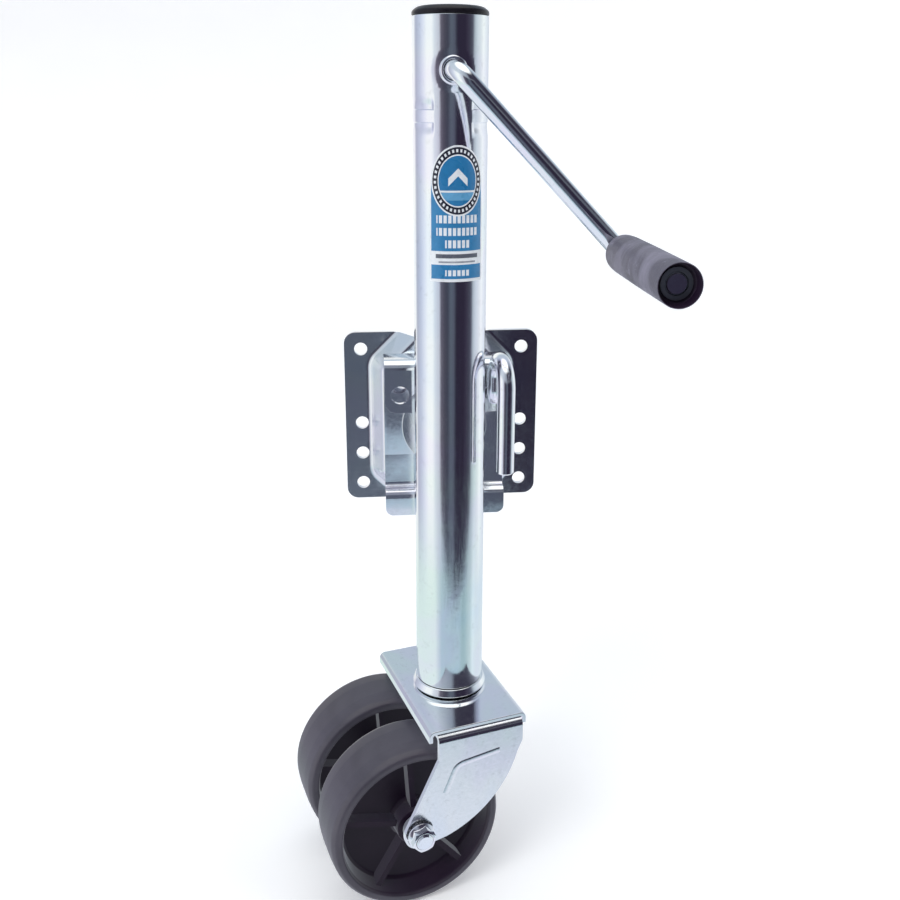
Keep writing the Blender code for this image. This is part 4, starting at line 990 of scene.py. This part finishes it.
def build_swivel_ring(mats):
    low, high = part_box("swivel_ring")
    foot, top, outer = low[2] - 1.4 * MM, high[2], high[0]
    wide, narrow, step = 24.4 * MM, 22.4 * MM, foot + 1.7 * MM
    profile = [(wide, foot), (outer - 1.5 * MM, foot), (outer, foot + 1.6 * MM),
               (outer - 0.4 * MM, foot + 3 * MM), (26.4 * MM, top), (narrow, top),
               (narrow, step), (wide, step)]
    bm = soft_turned(profile, in_mm(0.3, 1.2, 1.2, 1.0, 0.8, 0.3, 0.1, 0.1), 96, 5)
    piece("foot_ring", bm, mats["zinc"], "slide", ("swivel_ring",), LEG)


def build_inner_tube(mats):
    low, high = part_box("inner_tube")
    outer = (high[0] - low[0]) / 2
    bm = soft_turned(ring(outer - 3 * MM, outer, low[2], high[2]), 0.5 * MM, 96)
    piece("slide_tube", bm, mats["zinc"], "slide", ("inner_tube",), LEG)


KINGPIN_HOLE = 8.3 * MM


def build_cover(mats):
    thick = 3.0 * MM
    half_u = 60.5 * MM
    side = 38.5 * MM - thick / 2
    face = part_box("cover_plate")[1][2]
    top = face - thick / 2
    foot = face - 9 * MM
    path = rounded([(-side, 0, foot), (-side, 0, top), (side, 0, top), (side, 0, foot)], 3 * MM, 8)
    bm = sheet(path, Vector((0, 1, 0)), thick, -half_u, half_u)
    tools = pins([(0, 0)], KINGPIN_HOLE, face - 8 * MM, face + 4 * MM, "Z")
    piece("caster_cover", carved(bm, tools), mats["cover"], "caster", ("cover_plate",), CASTER, edge=0.5 * MM)


YOKE_WALL = 3.5 * MM
YOKE_HALF = 63.5 * MM


def yoke_outline(top):
    """The legs' outline as seen along the axle."""
    back, front = -32 * MM, 34.6 * MM
    outline = [(back, top), (back, -219 * MM)]
    outline += arc((AXLE_V, AXLE_Z - 1 * MM), 12 * MM, radians(165), radians(300), 24)
    outline += arc((-52.8 * MM, -202.8 * MM), 86.4 * MM, radians(-72), radians(-16), 24)
    return outline + [(front, -217 * MM), (front, top)]


def yoke_bead(side):
    """A pressed line on a leg: a flattened round bar, most of it inside the sheet."""
    corners = [in_mm(-27, 0, -247), in_mm(-18, 0, -225.5), in_mm(16, 0, -221)]
    bead = swept([Vector((p.x, 0, p.z)) for p in rounded(corners, 9 * MM, 10)], 4.6 * MM, 48)
    bmesh.ops.transform(bead, matrix=Matrix.Diagonal((1, 0.4, 1, 1)), verts=bead.verts)
    bmesh.ops.translate(bead, vec=(0, side * (63.5 - 1.6) * MM, 0), verts=bead.verts)
    return bead


def build_yoke(mats):
    wall = YOKE_HALF - YOKE_WALL / 2
    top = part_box("caster_yoke")[1][2] - YOKE_WALL / 2
    foot = AXLE_Z - 20 * MM
    path = rounded([(0, -wall, foot), (0, -wall, top), (0, wall, top), (0, wall, foot)], 3.8 * MM, 10)
    bm = sheet(path, Vector((1, 0, 0)), YOKE_WALL, -75 * MM, 50 * MM)
    reach = 80 * MM
    bm = carved(bm, [prism(yoke_outline(top + 4 * MM), -reach, reach, "Y")], "INTERSECT")
    tools = pins([(AXLE_V, AXLE_Z)], 6.6 * MM, -reach, reach)
    tools += pins([(0, 0)], KINGPIN_HOLE, top - 8 * MM, top + 4 * MM, "Z")
    bm = carved(carved(bm, tools), [yoke_bead(side) for side in (-1, 1)], "UNION")
    piece("caster_fork", bm, mats["pressed"], "caster", ("caster_yoke",), CASTER, sharp=11)


# Half of a wheel's section in mm: radius, place along the axle and the corner's radius
RIM = ((65.9, 9, 20), (65.2, 19.25, 6), (62.6, 23.15, 2.6), (57.6, 23.25, 0.8), (56.4, 20.75, 1.5),
       (54.6, 8.5, 1.5), (52.5, 6.6, 1.5), (17.5, 6, 1.5), (15.2, 8.5, 1.5), (14.6, 20.05, 0.8),
       (8.4, 20.05, 0.5))


def rib(number):
    """One of a wheel's five ribs."""
    turn = radians(94.0 + 72 * number)
    low, high, half = in_mm(13.5, 55.6, 2.2)
    outline = [(low, -half), (high, -half), (high, half), (low, half)]
    outline = [(x * cos(turn) - y * sin(turn), x * sin(turn) + y * cos(turn)) for x, y in outline]
    return prism(outline, -16.5 * MM, 16.5 * MM)


def build_wheels(mats):
    section = [in_mm(*point) for point in RIM]
    section += [(radius, -along, corner) for radius, along, corner in reversed(section)]
    for end, side in (("near", 1), ("far", -1)):
        bm = soft_turned([point[:2] for point in section], [point[2] for point in section], 112, 4)
        bm = carved(bm, [rib(number) for number in range(5)], "UNION")
        at = AXLE @ Matrix.Translation((0, 0, side * 34.95 * MM))
        wheel = piece(f"tyre_{end}", bm, mats["wheel"], f"{end}_wheel", (f"wheel_{end}",), at,
                      sharp=30, edge=0.4 * MM)
        wheel.visible_glossy = False


LEG_FACE = 63.8 * MM
BOLT_TIP = 75.0 * MM


def build_star_washer(mats):
    outline = []
    teeth = 10
    for i in range(teeth):
        for share, radius in ((-0.3, 8.4), (-0.16, 10.8), (0.16, 10.8), (0.3, 8.4)):
            angle = 2 * pi * i / teeth + share * 2 * pi / teeth
            outline.append((radius * MM * cos(angle), radius * MM * sin(angle)))
    hole = pins([(0, 0)], RUN_R, LEG_FACE - MM, LEG_FACE + 3 * MM, "Z")
    bm = carved(prism(outline, LEG_FACE, LEG_FACE + 1.2 * MM), hole)
    piece("star_washer", bm, mats["steel"], "caster", ("tooth_washer",), AXLE, edge=0.15 * MM)


def build_flange_nut(mats):
    """A hexagon with domed corners on a round flange."""
    start = LEG_FACE + 1.5 * MM
    stop = BOLT_TIP - 1.5 * MM
    rim, shoulder = 10.3 * MM, start + 3.0 * MM
    flange = soft_turned([(RUN_R, start), (rim, start), (rim, start + 1.4 * MM), (8.2 * MM, shoulder),
                          (RUN_R, shoulder)], 0.3 * MM, 64)
    corner = 16 * MM / 2 / cos(pi / 6)
    hexagon = prism(circle(corner, 6, radians(14)), start + 1.2 * MM, stop)
    wide = 12 * MM
    dome = turned([(0, start), (wide, start), (wide, stop - 2.4 * MM), (corner - 1.4 * MM, stop),
                   (0, stop)], 64)
    hexagon = carved(hexagon, [dome], "INTERSECT")
    hexagon = carved(hexagon, pins([(0, 0)], RUN_R, LEG_FACE, BOLT_TIP + 5 * MM, "Z"))
    piece("flange_nut", carved(hexagon, [flange], "UNION"), mats["bright"], "caster", ("axle_nut",), AXLE,
          edge=0.25 * MM)


# ---- stage

# The studio's colours by azimuth in degrees: 0 is straight ahead of the object, positive to its right
PALE = ((-180, 1, 1, 1), (-145, 1, 1, 1), (-131, 0.47, 0.49, 0.6), (-109, 0.6, 0.64, 0.77),
        (-93, 0.8, 0.83, 0.93), (-79, 0.98, 1, 1), (-62, 0.98, 1, 1), (-54, 0.75, 0.8, 0.86),
        (-43, 0.62, 0.64, 0.72), (60, 0.34, 0.4, 0.45), (72, 0.4, 0.46, 0.52), (84, 0.62, 0.7, 0.76),
        (98, 0.74, 0.8, 0.84), (113, 0.95, 1, 1), (133, 0.8, 0.86, 0.92), (165, 0.62, 0.68, 0.75),
        (180, 1, 1, 1))
DARK = ((-40, 0.24, 0.23, 0.28), (-36, 0.2, 0.18, 0.23), (-32, 0.13, 0.12, 0.16), (-22, 0.075, 0.072, 0.1),
        (-12, 0.055, 0.058, 0.085), (-2, 0.105, 0.125, 0.165), (8, 0.09, 0.1, 0.14),
        (14, 0.035, 0.034, 0.055), (18, 0.027, 0.022, 0.042), (40, 0.027, 0.022, 0.042),
        (49, 0.042, 0.036, 0.062), (60, 0.06, 0.062, 0.09), (72, 0.14, 0.15, 0.2))
FLOOR = ((-130, 0.76, 0.87, 0.87), (-54, 0.76, 0.87, 0.87), (-43, 0.6, 0.7, 0.77), (-32, 0.44, 0.58, 0.67),
         (28, 0.44, 0.58, 0.67), (39, 0.37, 0.52, 0.57), (49, 0.37, 0.52, 0.57), (60, 0.46, 0.6, 0.64),
         (72, 0.56, 0.69, 0.73), (84, 0.75, 0.87, 0.92), (98, 0.72, 0.81, 0.87), (133, 0.72, 0.81, 0.87))
UPPER = ((-180, 0.5, 0.58, 0.68), (-60, 0.62, 0.68, 0.76), (0, 0.3, 0.33, 0.4), (14, 0.05, 0.046, 0.07),
         (90, 0.04, 0.036, 0.06), (112, 0.3, 0.34, 0.42), (140, 0.5, 0.58, 0.68), (180, 0.5, 0.58, 0.68))


def dark_wall(g, azimuth, elevation):
    """1 inside the rounded outline of the dark wall behind the camera, 0 outside it."""
    beside = g.minus(azimuth, 13.0)
    beside = g.math("DIVIDE", beside, g.mapped(beside, 50.0, 58.0, -10.0, 10.0))
    under = g.math("DIVIDE", g.math("MINIMUM", g.plus(elevation, 20.0), 0.0), 7.4)
    beyond = g.plus(g.times(beside, beside), g.times(under, under))
    return g.ramp(g.times(beyond, 0.5), [(0.43, 1.0), (0.54, 0.0)])


def add_world():
    """Studio surround: pale all round, a dark wall behind the camera, a pale floor and a bright ceiling."""
    world = bpy.data.worlds.new("studio")
    bpy.context.scene.world = world
    g = Graph("studio", world)
    x, y, z = g.separate()
    azimuth = g.times(g.math("ARCTAN2", x, g.times(y, -1.0)), 180 / pi)
    elevation = g.times(g.math("ARCTAN2", z, g.length(x, y)), 180 / pi)
    share = g.plus(g.math("DIVIDE", azimuth, 360.0), 0.5)
    pale, dark, floor, upper = (
        g.ramp(share, [((angle + 180) / 360, tuple(colour)) for angle, *colour in stops])
        for stops in (PALE, DARK, FLOOR, UPPER))

    def passed(full, start, end):
        """0 up to one share of a full elevation, 1 from another on."""
        return g.ramp(g.math("DIVIDE", elevation, full), [(start, 0.0), (end, 1.0)])

    overhead = passed(90.0, 0.2, 0.33)
    colour = g.mixed(passed(-60.0, 0.36, 0.46), pale, floor)
    colour = g.mixed(passed(-60.0, 0.54, 0.6), colour, (0.8, 0.83, 0.93))
    colour = g.mixed(overhead, colour, upper)
    colour = g.mixed(g.times(dark_wall(g, azimuth, elevation), g.minus(1.0, overhead)), colour, dark)
    colour = g.mixed(passed(90.0, 0.58, 0.72), colour, (1.4, 1.4, 1.4))
    g.link(colour, "Color")
    g.set(Strength=1.0)


def area_light(name, place, power):
    """A soft square light aimed at the leg."""
    data = bpy.data.lights.new(name, "AREA")
    data.shape = "RECTANGLE"
    data.size, data.size_y = 1.2, 1.2
    data.energy = power
    obj = scene_object(name, data)
    obj.location = place
    obj.rotation_euler = (Vector((0, -0.1, 0)) - obj.location).to_track_quat("-Z", "Y").to_euler()
    obj.visible_glossy = False


def paper(name, near, far):
    """Pale paper with a little light of its own, more of it far out."""
    g = Graph(name)
    x, y, _ = g.separate()
    g.link(g.ramp(g.noise(3.0, 2.0), [(0.3, 0.9), (0.7, 0.93)]), "Base Color")
    g.link(g.mapped(g.length(x, y), near, far, 0.3, 4.0), "Emission Strength")
    g.set(Roughness=0.9, Emission_Color=(1.0, 1.0, 1.0, 1.0))
    return g.mat


def add_floor():
    """A pale paper floor and, far out, a pale curved backdrop that lets the studio's light through."""
    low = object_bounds()[0][2] - 0.2 * MM
    reach, curve, height = 4.0, 3.0, 9.0
    bm = turned([(0, low), (reach, low)], 96)
    rim = [(reach + x, low + z) for x, z in arc((0, curve), curve, radians(-90), 0.0, 24)]
    rim.append((reach + curve, low + height))
    wall = bmesh.new()
    join(wall, [[wall.verts.new((x, y, z)) for x, y in circle(r, 96)] for r, z in rim])
    for name, shape, near, far in (("floor", bm, 0.2, 0.4), ("backdrop", wall, 0.4, 0.46)):
        obj = loose_object(name, shape)
        obj.data.shade_smooth()
        obj.data.materials.append(paper(f"{name}_paper", near, far))
        obj.visible_glossy = False
        if name == "backdrop":
            obj.visible_diffuse = False
            obj.visible_shadow = False


def add_camera():
    """Looks slightly down and to the right of straight on."""
    yaw, pitch, roll = radians(5.67), radians(16.11), radians(0.27)
    ahead = Vector((sin(yaw) * cos(pitch), cos(yaw) * cos(pitch), -sin(pitch)))
    level = Vector((cos(yaw), -sin(yaw), 0))
    upright = level.cross(ahead)
    right = level * cos(roll) + upright * sin(roll)
    up = upright * cos(roll) - level * sin(roll)
    data = bpy.data.cameras.new("camera")
    data.sensor_width = 36.0
    data.lens = 40.76
    data.shift_x = -0.0116
    data.shift_y = -0.0609
    data.clip_end = 100.0
    camera = scene_object("camera", data)
    turn = Matrix((right, up, -ahead)).transposed().to_4x4()
    place = in_mm(-62.28, -785.7, 242.8)
    camera.matrix_world = Matrix.Translation(place) @ turn
    bpy.context.scene.camera = camera


def finish_frame_nodes(mats):
    """Materials for the CAD nodes that stay as they are."""
    finish = {"dark_steel": "steel", "zinc_steel": "bright", "plate_zinc": "plate", "spring_steel": "spring",
              "bronze": "bronze", "cap_plastic": "cap", "grip_vinyl": "grip", "wheel_plastic": "wheel",
              "bush_plastic": "bush", "label_film": "cap"}
    slots = {part["node"]: part["material_slot"] for part in frame["record"]["subparts"]}
    for name, obj in frame["nodes"].items():
        obj.data.materials.clear()
        obj.data.materials.append(mats[finish[slots[name]]])


def main():
    bpy.context.scene.view_settings.view_transform = "Standard"
    mats = main_materials()
    add_camera()
    add_world()
    add_floor()
    finish_frame_nodes(mats)
    for build in (build_tube, build_cap, build_bushings, build_label, build_plate, build_pivot,
                  build_bracket, build_saddle, build_pull_pin, build_crank, build_grip, build_swivel_ring,
                  build_inner_tube, build_cover, build_yoke, build_wheels, build_star_washer,
                  build_flange_nut):
        build(mats)
    area_light("key", (-1.4, -1.6, 1.9), 26)
    area_light("fill", (1.8, -0.9, 1.2), 12)


main()
